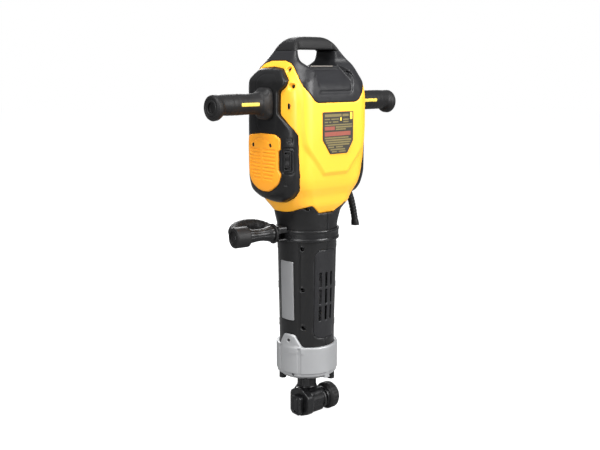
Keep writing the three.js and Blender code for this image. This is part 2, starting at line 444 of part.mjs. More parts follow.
// ---------------------------------------------------------------- motor
part('motor_shaft', add(rod('x', 4, 4, -88, 56.7, [0, MOTOR_Z], 12), gear(T_PINION, M1, 43.2, 50.5, MOTOR_Z, 0.5)), 'steel');
part('motor_bearing_front', cut(rod('x', 13.1, 13.1, 22.6, 29.7, [0, MOTOR_Z], 16), rod('x', 4.35, 4.35, 20, 33, [0, MOTOR_Z], 12)), 'steel');
let core = rod('x', 24, 24, -46, -4, [0, MOTOR_Z], 20);
core = add(core, rod('x', 18, 22, -54, -45.9, [0, MOTOR_Z], 16), rod('x', 22, 17, -4.1, 3, [0, MOTOR_Z], 16));
core = cut(core, rod('x', 4.3, 4.3, -60, 10, [0, MOTOR_Z], 12));
part('armature_core', core, 'copper');
part('commutator', cut(rod('x', 16, 16, -74, -56, [0, MOTOR_Z], 20), rod('x', 4.3, 4.3, -80, -50, [0, MOTOR_Z], 12)), 'copper');
let fan = add(rod('x', 36, 36, 6, 8, [0, MOTOR_Z], 24), rod('x', 9, 9, 7.9, 18, [0, MOTOR_Z], 12));
for (let i = 0; i < 6; i++) {
  const b = box(7.5, 17, -0.9, 0.9, 8, 34);
  const g = geo(b); g.rotateX((2 * Math.PI * i) / 6); g.translate(0, 0, MOTOR_Z); fan = add(fan, man(g));
}
fan = cut(fan, rod('x', 4.3, 4.3, 0, 25, [0, MOTOR_Z], 12));
part('cooling_fan', fan, 'black');
part('stator_core', cut(rod('x', 39.5, 39.5, -50, 0, [0, MOTOR_Z], 24), rod('x', 24.8, 24.8, -60, 10, [0, MOTOR_Z], 20), box(-60, 10, 18, 33, MOTOR_Z - 9, MOTOR_Z + 9), box(-60, 10, -33, -18, MOTOR_Z - 9, MOTOR_Z + 9)), 'steel');
part('motor_can', cut(rod('x', 43.5, 43.5, -54, 22, [0, MOTOR_Z], 20), rod('x', 39.9, 39.9, -60, 30, [0, MOTOR_Z], 24)), 'black');
let bracket = add(cut(rod('x', 43.5, 43.5, -79.5, -54.3, [0, MOTOR_Z], 24), rod('x', 37, 37, -77.5, -50, [0, MOTOR_Z], 24)), rod('x', 15, 15, -88, -77.6, [0, MOTOR_Z], 16));
bracket = cut(bracket, rod('x', 4.35, 4.35, -90, -70, [0, MOTOR_Z], 12));
for (const s of [-1, 1]) bracket = cut(bracket, box(-71, -61, s < 0 ? -50 : 30, s < 0 ? -30 : 50, MOTOR_Z - 5.5, MOTOR_Z + 5.5));
part('brush_bracket', bracket, 'black');
for (const [s, word] of [[-1, 'front'], [1, 'rear']]) {
  part('carbon_brush_' + word, box(-70.5, -61.5, s < 0 ? -42 : 16.6, s < 0 ? -16.6 : 42, MOTOR_Z - 5, MOTOR_Z + 5), 'carbon');
}

// ---------------------------------------------------------------- floating T handle
let frame = box(-84, 84, -26, 26, 617, 624);
for (const x of [-62, 62]) frame = add(frame, rod('z', 6, 6, 620, 748, [x, 0], 12), rod('z', 11, 11, 623.9, 628, [x, 0], 12));
frame = add(frame, box(-84, -76, -26, 26, 606, 618), box(76, 84, -26, 26, 606, 618));
frame = cut(frame, box(-30, 30, -12, 12, 610, 630));
part('handle_frame', frame, 'alloy');
const HZ = HANDLE_Z;
let cross = rod('x', 13.4, 13.4, -246, 246, [0, HZ], 12);
for (const x of [-62, 62]) cross = add(cross, rod('z', 14.5, 14.5, HZ - 18, HZ + 18, [x, 0], 14));
for (const x of [-62, 62]) cross = cut(cross, rod('z', 6.5, 6.5, HZ - 30, HZ + 30, [x, 0], 12));
part('handle_crossbar', cross, 'steel');
for (const [s, word] of [[-1, 'left'], [1, 'right']]) {
  const X = (a) => s * a;
  const revolve = (profile, dz, n) => {
    const q = geo(turned(profile, n));
    q.rotateY((s * Math.PI) / 2); q.translate(0, 0, HZ + dz);
    return man(q);
  };
  const root = [[115, 24, 33], [121, 23.5, 31]].flatMap(([x, b, h]) => rounded([[-b, HZ - h, 14], [b, HZ - h, 14], [b, HZ + h, 14], [-b, HZ + h, 14]], 2).map(([y, z]) => V3(X(x), y, z)));
  const collar = Array.from({ length: 16 }, (_, k) => V3(X(137), 22.3 * Math.cos((k * Math.PI) / 8), HZ + 22.3 * Math.sin((k * Math.PI) / 8)));
  let g = add(hull([...root, ...collar]),
    revolve([[0, 130], [22.1, 130], [21, 165], [21.5, 205], [20.5, 240], [0, 240]], 0, 16),
    revolve([[0, 235], [21, 235], [KNOB_R - 0.5, 243], [KNOB_R, 251], [KNOB_R - 3, HANDLE_HALF], [11, HANDLE_HALF], [9, 250], [0, 250]], -5, 16));
  g = cut(g, revolve([[0, 100], [13.9, 100], [13.9, 246.3], [0, 246.3]], 0, 12));
  part(word + '_grip', largest(g), 'rubber', tool);
  const turns = 4, pts = [];
  for (let k = 0; k <= turns * 9; k++) {
    const a = (2 * Math.PI * k) / 9;
    pts.push([s * 62 + 9.6 * Math.cos(a), 9.6 * Math.sin(a), 630.4 + (39.2 * k) / (turns * 9)]);
  }
  part('float_spring_' + word, swept(pts, 1.8, turns * 9, 4), 'steel');
}
part('control_module', box(-46, 46, -78, -42, 634, 676), 'board');

// ---------------------------------------------------------------- power switch (left housing)
const sw = new THREE.Group();
sw.position.set(-104, -59, 575.5);
sw.rotation.z = rad(24);
tool.add(sw);
let bezel = cut(box(-9, 0, -8, 8, -20.5, 20.5), box(-12, -1.5, -5.5, 5.5, -17.5, 17.5));
part('switch_bezel', bezel, 'black', sw);
const rocker = prism('xz', [[-8.6, -14], [-9.6, 0], [-8.6, 14], [-4.4, 14.5], [-3.2, 0], [-4.4, -14.5]], -5, 5);
part('power_rocker', rocker, 'rubber', sw);

// ---------------------------------------------------------------- cord guard
const guardPath = [[103, -20, 503], [108, -20, 488], [116, -20, 470], [123, -20, 447], [128, -20, 425], [130, -20, 412]];
let guard = add(swept(guardPath, 7.8, 6, 8), (() => { const g = new THREE.CylinderGeometry(8, 9.8, 7, 10); g.rotateX(Math.PI / 2); g.rotateY(rad(-9)); g.translate(129.6, -20, 415.2); return man(g); })());
guard = cut(guard, swept([[101, -20, 509], ...guardPath.slice(1, 5), [131.4, -20, 403]], 5.4, 6, 8));
part('cord_guard', largest(guard), 'rubber');

// ---------------------------------------------------------------- side handle
const side = new THREE.Group();
side.rotation.z = rad(SIDE_ANGLE);
tool.add(side);
let band = cut(turned(closed([[70.2, BAND_Z - 12], [70.2, BAND_Z + 12], [66.1, BAND_Z + 12], [66.1, BAND_Z - 12]]), 24), box(-90, -60, -3, 3, 380, 440));
// boss block where the two band ends meet the clamp bolt
band = add(band, both(box(-86, -60, -21, 21, SIDE_Z - 17, SIDE_Z + 17), cut(box(-90, 0, -40, 40, 380, 440), rod('z', 68.5, 68.5, 370, 450, [0, 0], 24))));
band = cut(band, rod('x', 6, 6, -90, -60, [0, SIDE_Z], 12), rod('z', 66.1, 66.1, 370, 450, [0, 0], 24));
part('clamp_band', largest(band), 'dark', side);
const D = [[-78, 31, SIDE_Z + 2], [-84, 47, SIDE_Z + 7], [-98, 60, SIDE_Z + 11], [-122, 63, SIDE_Z + 12], [-146, 54, SIDE_Z + 10], [-163, 36, SIDE_Z + 6], [-169, 16, SIDE_Z + 2], [-169, 6, SIDE_Z]];
let loop = add(swept(D, 13, 9, 8), rod('x', 21.5, 22, -186, -152, [0, SIDE_Z], 20), rod('x', 21.5, 21.5, -91, -86.4, [0, SIDE_Z], 20), hull([V3(-91, 10, SIDE_Z - 14), V3(-91, 10, SIDE_Z + 14), V3(-86.4, 10, SIDE_Z - 14), V3(-86.4, 10, SIDE_Z + 14), V3(-91, 42, SIDE_Z - 6), V3(-91, 42, SIDE_Z + 14), V3(-78, 40, SIDE_Z - 6), V3(-78, 40, SIDE_Z + 12), V3(-76, 26, SIDE_Z - 9), V3(-76, 26, SIDE_Z + 13)]));
loop = cut(loop, rod('x', 6, 6, -180, -60, [0, SIDE_Z], 12), rod('x', 16, 16, -190, -182, [0, SIDE_Z], 16), box(-86.1, -50, -21.4, 21.4, 380, 440));
part('side_handle_loop', largest(loop), 'rubber', side);
let nut = add(rod('x', 14.5, 17.5, -104, -91.4, [0, SIDE_Z], 16), rod('x', 12.5, 14.5, -122, -103.9, [0, SIDE_Z], 16), rod('x', 15.5, 12.5, -151.6, -121.9, [0, SIDE_Z], 16));
nut = cut(nut, rod('x', 6, 6, -160, -80, [0, SIDE_Z], 12));
part('clamp_nut', nut, 'black', side);
part('clamp_bolt', rod('x', 5.4, 5.4, -179.5, -70, [0, SIDE_Z], 12), 'steel', side);

export default tool;
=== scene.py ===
import json
import math

import bpy
import numpy as np
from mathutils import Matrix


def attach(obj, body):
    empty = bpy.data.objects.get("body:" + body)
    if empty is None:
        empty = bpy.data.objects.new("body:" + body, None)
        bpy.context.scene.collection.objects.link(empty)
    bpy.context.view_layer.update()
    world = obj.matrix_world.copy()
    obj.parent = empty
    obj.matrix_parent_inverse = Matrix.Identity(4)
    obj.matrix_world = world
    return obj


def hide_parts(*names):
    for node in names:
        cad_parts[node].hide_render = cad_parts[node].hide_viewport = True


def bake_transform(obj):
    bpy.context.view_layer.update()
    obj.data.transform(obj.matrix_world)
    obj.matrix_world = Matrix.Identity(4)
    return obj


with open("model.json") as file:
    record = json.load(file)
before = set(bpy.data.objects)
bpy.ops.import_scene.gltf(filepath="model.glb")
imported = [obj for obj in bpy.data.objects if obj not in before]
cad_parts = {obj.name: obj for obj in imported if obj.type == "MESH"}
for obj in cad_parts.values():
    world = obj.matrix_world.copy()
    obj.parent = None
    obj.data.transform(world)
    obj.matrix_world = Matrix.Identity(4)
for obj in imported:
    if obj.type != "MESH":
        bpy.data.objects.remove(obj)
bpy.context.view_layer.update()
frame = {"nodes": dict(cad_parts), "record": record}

import openvdb as vdb
from mathutils import Matrix, Vector

F = np.float32
COARSE = 1.0
MM = 0.001

# ------------------------------------------------------------------ camera, light, stage
scene = bpy.context.scene
PITCH = math.atan(161 / 900)
fh = Vector((0.669, 0.743, 0)).normalized()
forward = (fh * math.cos(PITCH) + Vector((0, 0, -1)) * math.sin(PITCH)).normalized()
cam = bpy.data.objects.new("camera", bpy.data.cameras.new("camera"))
cam.data.lens = 54
cam.data.sensor_width = 36
cam.data.clip_end = 60
cam.location = Vector((-1.31016, -1.43220, 0.770))
cam.rotation_mode = "QUATERNION"
cam.rotation_quaternion = forward.to_track_quat("-Z", "Y")
scene.collection.objects.link(cam)
scene.camera = cam
scene.view_settings.view_transform = "Standard"
scene.view_settings.look = "None"
scene.view_settings.exposure = 0.0
scene.view_settings.gamma = 1.0


def node(tree, kind, x=0, y=0, **sockets):
    n = tree.nodes.new(kind)
    n.location = (x, y)
    for k, v in sockets.items():
        n.inputs[k.replace("_", " ")].default_value = v
    return n


world = bpy.data.worlds.new("studio")
scene.world = world
world.use_nodes = True
wt = world.node_tree
wt.nodes.clear()
w_out = node(wt, "ShaderNodeOutputWorld", 900)
w_mix = node(wt, "ShaderNodeMixShader", 700)
w_path = node(wt, "ShaderNodeLightPath", 400, 200)
w_cam = node(wt, "ShaderNodeBackground", 400, -50, Strength=1.0)
w_cam.inputs["Color"].default_value = (1, 1, 1, 1)
w_env = node(wt, "ShaderNodeBackground", 400, -200, Strength=1.0)
w_tex = node(wt, "ShaderNodeTexCoord", -500)
w_sep = node(wt, "ShaderNodeSeparateXYZ", -300)
w_ramp = node(wt, "ShaderNodeValToRGB", -100)
w_map = node(wt, "ShaderNodeMapRange", -200, -200)
w_map.inputs["From Min"].default_value = -1
w_map.inputs["From Max"].default_value = 1
wt.links.new(w_tex.outputs["Generated"], w_sep.inputs[0])
wt.links.new(w_sep.outputs["Z"], w_map.inputs["Value"])
wt.links.new(w_map.outputs[0], w_ramp.inputs[0])
ramp = w_ramp.color_ramp
ramp.elements[0].position = 0.30
ramp.elements[0].color = (0.12, 0.12, 0.12, 1)
ramp.elements[1].position = 0.95
ramp.elements[1].color = (0.42, 0.43, 0.45, 1)
mid = ramp.elements.new(0.55)
mid.color = (0.17, 0.17, 0.175, 1)
wt.links.new(w_ramp.outputs[0], w_env.inputs["Color"])
wt.links.new(w_path.outputs["Is Camera Ray"], w_mix.inputs[0])
wt.links.new(w_env.outputs[0], w_mix.inputs[1])
wt.links.new(w_cam.outputs[0], w_mix.inputs[2])
wt.links.new(w_mix.outputs[0], w_out.inputs[0])


def softbox(name, at, to, size, power, color=(1, 1, 1)):
    l = bpy.data.lights.new(name, "AREA")
    l.shape = "RECTANGLE"
    l.size, l.size_y = size
    l.energy = power
    l.color = color
    o = bpy.data.objects.new(name, l)
    o.location = Vector(at)
    o.rotation_mode = "QUATERNION"
    o.rotation_quaternion = (Vector(to) - Vector(at)).to_track_quat("-Z", "Y")
    scene.collection.objects.link(o)
    return o


softbox("key", (0.75, -2.3, 1.55), (0, 0, 0.5), (1.2, 1.6), 108)
softbox("top", (-0.7, -0.5, 2.6), (0, 0, 0.6), (1.4, 1.1), 58)
softbox("left", (-2.5, -0.7, 1.3), (0, 0, 0.5), (0.8, 1.6), 58)
softbox("back", (1.3, 2.2, 1.3), (0, 0, 0.5), (1.0, 1.6), 40)


def stage_floor():
    n, r = 64, 14.0
    verts = [(0, 0, 0)] + [(r * math.cos(2 * math.pi * i / n), r * math.sin(2 * math.pi * i / n), 0) for i in range(n)]
    faces = [(0, 1 + i, 1 + (i + 1) % n) for i in range(n)]
    me = bpy.data.meshes.new("floor")
    me.from_pydata(verts, [], faces)
    o = bpy.data.objects.new("floor", me)
    o.location = (0, 0, -0.0012)
    scene.collection.objects.link(o)
    m = bpy.data.materials.new("floor_pale")
    m.use_nodes = True
    t = m.node_tree
    t.nodes.clear()
    out = node(t, "ShaderNodeOutputMaterial", 600)
    addn = node(t, "ShaderNodeAddShader", 400)
    dif = node(t, "ShaderNodeBsdfDiffuse", 200, 100)
    em = node(t, "ShaderNodeEmission", 200, -100)
    path = node(t, "ShaderNodeLightPath", -300, -300)
    glow = node(t, "ShaderNodeMath", 0, -250)
    glow.operation = "MULTIPLY"
    glow.inputs[1].default_value = 0.90
    t.links.new(path.outputs["Is Camera Ray"], glow.inputs[0])
    t.links.new(glow.outputs[0], em.inputs["Strength"])
    tc = node(t, "ShaderNodeTexCoord", -600)
    noi = node(t, "ShaderNodeTexNoise", -400, 0, Scale=3.0)
    mix = node(t, "ShaderNodeMix", -100)
    mix.data_type = "RGBA"
    mix.inputs[6].default_value = (0.27, 0.27, 0.27, 1)
    mix.inputs[7].default_value = (0.30, 0.30, 0.30, 1)
    t.links.new(tc.outputs["Object"], noi.inputs["Vector"])
    t.links.new(noi.outputs["Fac"], mix.inputs[0])
    t.links.new(mix.outputs[2], dif.inputs["Color"])
    t.links.new(dif.outputs[0], addn.inputs[0])
    t.links.new(em.outputs[0], addn.inputs[1])
    t.links.new(addn.outputs[0], out.inputs[0])
    me.materials.append(m)


stage_floor()

# ------------------------------------------------------------------ materials


def surface(name, base, rough, metal=0.0, grain=1400.0, bump=0.12, depth=0.00012, tint=0.06, spread=0.08, wear=None,
            wear_at=(0.53, 0.60), spec=0.5, brushed=None, coat=0.0, blotch=9.0, scratches=0.0):
    """A procedural finish: broad colour drift, fine moulded grain, uneven gloss and rubbed edges."""
    m = bpy.data.materials.new(name)
    m.use_nodes = True
    t = m.node_tree
    t.nodes.clear()
    out = node(t, "ShaderNodeOutputMaterial", 1200)
    b = node(t, "ShaderNodeBsdfPrincipled", 900)
    b.inputs["Metallic"].default_value = metal
    b.inputs["Specular IOR Level"].default_value = spec
    if coat:
        b.inputs["Coat Weight"].default_value = coat
        b.inputs["Coat Roughness"].default_value = 0.25
    t.links.new(b.outputs[0], out.inputs[0])
    tc = node(t, "ShaderNodeTexCoord", -1200)
    vec = tc.outputs["Object"]
    # broad drift of colour
    big = node(t, "ShaderNodeTexNoise", -800, 300, Scale=blotch, Detail=3.0)
    t.links.new(vec, big.inputs["Vector"])
    mix = node(t, "ShaderNodeMix", -400, 300)
    mix.data_type = "RGBA"
    mix.inputs[6].default_value = tuple(c * (1 - tint) for c in base) + (1,)
    mix.inputs[7].default_value = tuple(min(1.0, c * (1 + tint)) for c in base) + (1,)
    t.links.new(big.outputs["Fac"], mix.inputs[0])
    colour = mix.outputs[2]
    if wear is not None:
        g = node(t, "ShaderNodeNewGeometry", -800, 600)
        r = node(t, "ShaderNodeMapRange", -600, 600)
        r.inputs["From Min"].default_value = wear_at[0]
        r.inputs["From Max"].default_value = wear_at[1]
        t.links.new(g.outputs["Pointiness"], r.inputs["Value"])
        patch = node(t, "ShaderNodeTexNoise", -800, 800, Scale=60.0, Detail=4.0)
        t.links.new(vec, patch.inputs["Vector"])
        mul = node(t, "ShaderNodeMath", -400, 600)
        mul.operation = "MULTIPLY"
        t.links.new(r.outputs[0], mul.inputs[0])
        t.links.new(patch.outputs["Fac"], mul.inputs[1])
        w = node(t, "ShaderNodeMix", -100, 400)
        w.data_type = "RGBA"
        w.inputs[7].default_value = tuple(wear) + (1,)
        t.links.new(mul.outputs[0], w.inputs[0])
        t.links.new(colour, w.inputs[6])
        colour = w.outputs[2]
    t.links.new(colour, b.inputs["Base Color"])
    # uneven gloss
    mid_ = node(t, "ShaderNodeTexNoise", -800, 0, Scale=85.0, Detail=5.0)
    t.links.new(vec, mid_.inputs["Vector"])
    rr = node(t, "ShaderNodeMapRange", -400, 0)
    rr.inputs["From Min"].default_value = 0.3
    rr.inputs["From Max"].default_value = 0.7
    rr.inputs["To Min"].default_value = max(0.03, rough - spread)
    rr.inputs["To Max"].default_value = min(1.0, rough + spread)
    t.links.new(mid_.outputs["Fac"], rr.inputs["Value"])
    t.links.new(rr.outputs[0], b.inputs["Roughness"])
    # fine grain
    if brushed:
        mp = node(t, "ShaderNodeMapping", -1000, -300)
        mp.inputs["Scale"].default_value = brushed
        t.links.new(vec, mp.inputs["Vector"])
        fine = node(t, "ShaderNodeTexNoise", -800, -300, Scale=1.0, Detail=3.0)
        t.links.new(mp.outputs[0], fine.inputs["Vector"])
    else:
        fine = node(t, "ShaderNodeTexNoise", -800, -300, Scale=grain, Detail=2.0)
        t.links.new(vec, fine.inputs["Vector"])
    height = fine.outputs["Fac"]
    if scratches:
        mp2 = node(t, "ShaderNodeMapping", -1000, -600)
        mp2.inputs["Scale"].default_value = (40, 40, 900)
        mp2.inputs["Rotation"].default_value = (0.35, 0.2, 0.1)
        t.links.new(vec, mp2.inputs["Vector"])
        sc = node(t, "ShaderNodeTexNoise", -800, -600, Scale=1.0, Detail=2.0)
        t.links.new(mp2.outputs[0], sc.inputs["Vector"])
        ad = node(t, "ShaderNodeMath", -500, -450)
        ad.operation = "MULTIPLY_ADD"
        ad.inputs[1].default_value = scratches
        t.links.new(sc.outputs["Fac"], ad.inputs[0])
        t.links.new(height, ad.inputs[2])
        height = ad.outputs[0]
    bp = node(t, "ShaderNodeBump", 500, -300)
    bp.inputs["Strength"].default_value = bump
    bp.inputs["Distance"].default_value = depth
    t.links.new(height, bp.inputs["Height"])
    t.links.new(bp.outputs[0], b.inputs["Normal"])
    return m


MAT = {
    "yellow_shell": surface("yellow_moulding", (0.97, 0.442, 0.030), 0.40, grain=1500, bump=0.10, tint=0.02, spread=0.05, wear=(1.0, 0.62, 0.12), spec=0.42),
    # vent cover finish: the same yellow plastic made darker and more orange, painted shade of the side-facing cover
    "amber_cover": surface("yellow_moulding_painted_shade", (0.90, 0.345, 0.018), 0.44, grain=1500, bump=0.12, tint=0.02, spread=0.05, wear=(1.0, 0.55, 0.12), spec=0.40),
    "black_plastic": surface("black_moulding", (0.0084, 0.0084, 0.0087), 0.36, grain=1300, bump=0.20, tint=0.10, spread=0.07, wear=(0.03, 0.03, 0.033), spec=0.27, scratches=0.10),
    "grey_cover": surface("cover_moulding", (0.0125, 0.0125, 0.0138), 0.37, grain=1300, bump=0.20, tint=0.08, spread=0.07, wear=(0.04, 0.04, 0.043), spec=0.28),
    "grip_rubber": surface("soft_rubber", (0.0095, 0.0092, 0.0094), 0.52, grain=900, bump=0.30, depth=0.0002, tint=0.12, spread=0.06, wear=(0.03, 0.03, 0.03), spec=0.22),
    "cast_alloy": surface("cast_alloy", (0.30, 0.303, 0.308), 0.46, metal=0.30, grain=1100, bump=0.22, depth=0.0002, tint=0.04, spread=0.07, wear=(0.72, 0.72, 0.73), spec=0.5),
    "steel": surface("turned_steel", (0.46, 0.465, 0.475), 0.30, metal=1.0, brushed=(60, 60, 2600), bump=0.10, tint=0.08, spread=0.08, wear=(0.62, 0.62, 0.63)),
    "dark_steel": surface("phosphated_steel", (0.0065, 0.0065, 0.0072), 0.34, metal=0.30, grain=1000, bump=0.24, depth=0.0002, tint=0.18, spread=0.10, wear=(0.14, 0.14, 0.14), wear_at=(0.53, 0.62), scratches=0.2),
    "copper": surface("wound_copper", (0.56, 0.24, 0.10), 0.36, metal=0.9, brushed=(2400, 80, 80), bump=0.35, depth=0.0003, tint=0.15, spread=0.08, wear=(0.75, 0.40, 0.2)),
    "carbon": surface("pressed_carbon", (0.022, 0.022, 0.023), 0.62, grain=1800, bump=0.3, tint=0.2, spread=0.08, wear=(0.08, 0.08, 0.08)),
    "silver_plate": surface("satin_plate", (0.26, 0.262, 0.268), 0.40, metal=0.45, brushed=(90, 90, 3200), bump=0.10, tint=0.04, spread=0.06, wear=(0.7, 0.7, 0.7)),
    "circuit_module": surface("potted_module", (0.03, 0.11, 0.06), 0.50, grain=700, bump=0.2, tint=0.15, spread=0.10, wear=(0.1, 0.2, 0.15)),
}
EXTRA = {
    # near-black finish that paints the shade of small recesses: the square vent's insert and the vent-cover screw heads
    "recess_painted_shade": surface("recess_painted_shade", (0.004, 0.004, 0.0045), 0.60, grain=900, bump=0.15, tint=0.2, spread=0.08),
    "print_tan": surface("print_tan", (0.150, 0.118, 0.040), 0.55, grain=1600, bump=0.06, tint=0.16, spread=0.05, blotch=160.0),
    "print_red": surface("print_red", (0.235, 0.055, 0.034), 0.55, grain=1600, bump=0.06, tint=0.14, spread=0.05, blotch=160.0),
    "print_yellow": surface("print_yellow", (0.74, 0.52, 0.04), 0.50, grain=1600, bump=0.06, tint=0.05, spread=0.05),
    "plate_dark": surface("plate_dark", (0.020, 0.017, 0.010), 0.50, grain=1600, bump=0.08, tint=0.12, spread=0.06),
    "mark_yellow": surface("mark_yellow", (0.62, 0.46, 0.06), 0.52, grain=1200, bump=0.10, tint=0.05, spread=0.05),
    # lighter grey finish for a painted highlight along the front edge of the hand opening's floor
    "highlight_grey_painted": surface("highlight_grey_painted", (0.20, 0.18, 0.16), 0.42, grain=1200, bump=0.10, tint=0.05, spread=0.05, metal=0.3),
    "lit_window": surface("dark_window", (0.006, 0.006, 0.007), 0.18, grain=400, bump=0.02, tint=0.1, spread=0.03),
}

# ------------------------------------------------------------------ distance field tools (millimetres)


def smin(a, b, k):
    h = np.maximum(k - np.abs(a - b), 0) / k
    return np.minimum(a, b) - h * h * (k * 0.25)


def smax(a, b, k):
    h = np.maximum(k - np.abs(a - b), 0) / k
    return np.maximum(a, b) + h * h * (k * 0.25)


def ln(*v):
    s = v[0] * v[0]
    for q in v[1:]:
        s = s + q * q
    return np.sqrt(s)


def slab(v, lo, hi):
    return np.maximum(lo - v, v - hi)


def step(v, lo, hi):
    t = np.clip((v - lo) / (hi - lo), 0, 1)
    return t * t * (3 - 2 * t)


def pchip(xs, ys):
    xs, ys = np.array(xs, F), np.array(ys, F)
    h, d = np.diff(xs), np.diff(ys) / np.diff(xs)
    m = np.zeros(len(xs), F)
    for i in range(1, len(xs) - 1):
        if d[i - 1] * d[i] > 0:
            w1, w2 = 2 * h[i] + h[i - 1], h[i] + 2 * h[i - 1]
            m[i] = (w1 + w2) / (w1 / d[i - 1] + w2 / d[i])
    m[0], m[-1] = d[0], d[-1]

    def f(v):
        v = np.clip(v, xs[0], xs[-1]).astype(F)
        i = np.clip(np.searchsorted(xs, v, side="right") - 1, 0, len(xs) - 2)
        t = (v - xs[i]) / h[i]
        t2, t3 = t * t, t * t * t
        return (2 * t3 - 3 * t2 + 1) * ys[i] + (t3 - 2 * t2 + t) * h[i] * m[i] + (-2 * t3 + 3 * t2) * ys[i + 1] + (t3 - t2) * h[i] * m[i + 1]

    return f


def rounded(pts, n=6):
    out, N = [], len(pts)
    for i in range(N):
        p, q, r = pts[i], pts[(i + 1) % N], pts[i - 1]
        rad = p[2] if len(p) > 2 else 0
        if not rad:
            out.append((p[0], p[1]))
            continue
        a, b = np.array([r[0] - p[0], r[1] - p[1]], float), np.array([q[0] - p[0], q[1] - p[1]], float)
        la, lb = np.linalg.norm(a), np.linalg.norm(b)
        a, b = a / la, b / lb
        half = math.acos(max(-1, min(1, float(a @ b)))) / 2
        d = min(rad / math.tan(half), la * 0.49, lb * 0.49)
        for k in range(n + 1):
            s = k / n
            c = (1 - s) ** 2 * (np.array(p[:2]) + a * d) + 2 * s * (1 - s) * np.array(p[:2]) + s * s * (np.array(p[:2]) + b * d)
            out.append((float(c[0]), float(c[1])))
    return out


def poly(pts):
    P = np.array([p[:2] for p in pts], F)

    def f(a, b):
        a, b = np.broadcast_arrays(np.asarray(a, F), np.asarray(b, F))
        d2 = np.full(a.shape, 1e12, F)
        inside = np.zeros(a.shape, bool)
        for i in range(len(P)):
            x1, y1 = P[i]
            x2, y2 = P[(i + 1) % len(P)]
            ex, ey = x2 - x1, y2 - y1
            if ex * ex + ey * ey < 1e-9:
                continue
            wx, wy = a - x1, b - y1
            t = np.clip((wx * ex + wy * ey) / (ex * ex + ey * ey), 0, 1)
            d2 = np.minimum(d2, (wx - ex * t) ** 2 + (wy - ey * t) ** 2)
            if abs(ey) > 1e-9:
                inside ^= ((y1 <= b) != (y2 <= b)) & (a < x1 + (b - y1) / ey * ex)
        d = np.sqrt(d2)
        return np.where(inside, -d, d).astype(F)

    return f


def path2(pts, r):
    """distance to a flat polyline of half width r"""
    P = [tuple(map(float, p)) for p in pts]

    def f(a, b):
        best = None
        for (x1, y1), (x2, y2) in zip(P, P[1:]):
            ex, ey = x2 - x1, y2 - y1
            wx, wy = a - x1, b - y1
            t = np.clip((wx * ex + wy * ey) / (ex * ex + ey * ey), 0, 1)
            d = (wx - ex * t) ** 2 + (wy - ey * t) ** 2
            best = d if best is None else np.minimum(best, d)
        return np.sqrt(best) - r

    return f


def tube(pts, radii, k=0.0):
    """round bar along a polyline, radius changing along it"""
    P = [tuple(map(float, p)) for p in pts]

    def f(x, y, z):
        best = None
        for i in range(len(P) - 1):
            (x1, y1, z1), (x2, y2, z2) = P[i], P[i + 1]
            ex, ey, ez = x2 - x1, y2 - y1, z2 - z1
            wx, wy, wz = x - x1, y - y1, z - z1
            t = np.clip((wx * ex + wy * ey + wz * ez) / (ex * ex + ey * ey + ez * ez), 0, 1)
            d = np.sqrt((wx - ex * t) ** 2 + (wy - ey * t) ** 2 + (wz - ez * t) ** 2) - (radii[i] + (radii[i + 1] - radii[i]) * t)
            best = d if best is None else np.minimum(best, d)
        return best

    return f


def curve(pts, n):
    """smooth points through the given ones"""
    P = [np.array(p, float) for p in pts]
    P = [2 * P[0] - P[1]] + P + [2 * P[-1] - P[-2]]
    out = []
    for i in range(1, len(P) - 2):
        for k in range(n):
            t = k / n
            out.append(0.5 * ((2 * P[i]) + (-P[i - 1] + P[i + 1]) * t + (2 * P[i - 1] - 5 * P[i] + 4 * P[i + 1] - P[i + 2]) * t * t
                              + (-P[i - 1] + 3 * P[i] - 3 * P[i + 1] + P[i + 2]) * t ** 3))
    out.append(P[-2])
    return [tuple(p) for p in out]


def rbox(x, y, z, c, h, r):
    qx, qy, qz = np.abs(x - c[0]) - h[0] + r, np.abs(y - c[1]) - h[1] + r, np.abs(z - c[2]) - h[2] + r
    return ln(np.maximum(qx, 0), np.maximum(qy, 0), np.maximum(qz, 0)) + np.minimum(np.maximum(np.maximum(qx, qy), qz), 0) - r


def rrect(a, b, ha, hb, r):
    qa, qb = np.abs(a) - (ha - r), np.abs(b) - (hb - r)
    return ln(np.maximum(qa, 0), np.maximum(qb, 0)) + np.minimum(np.maximum(qa, qb), 0) - r


ADAPT = 0.012


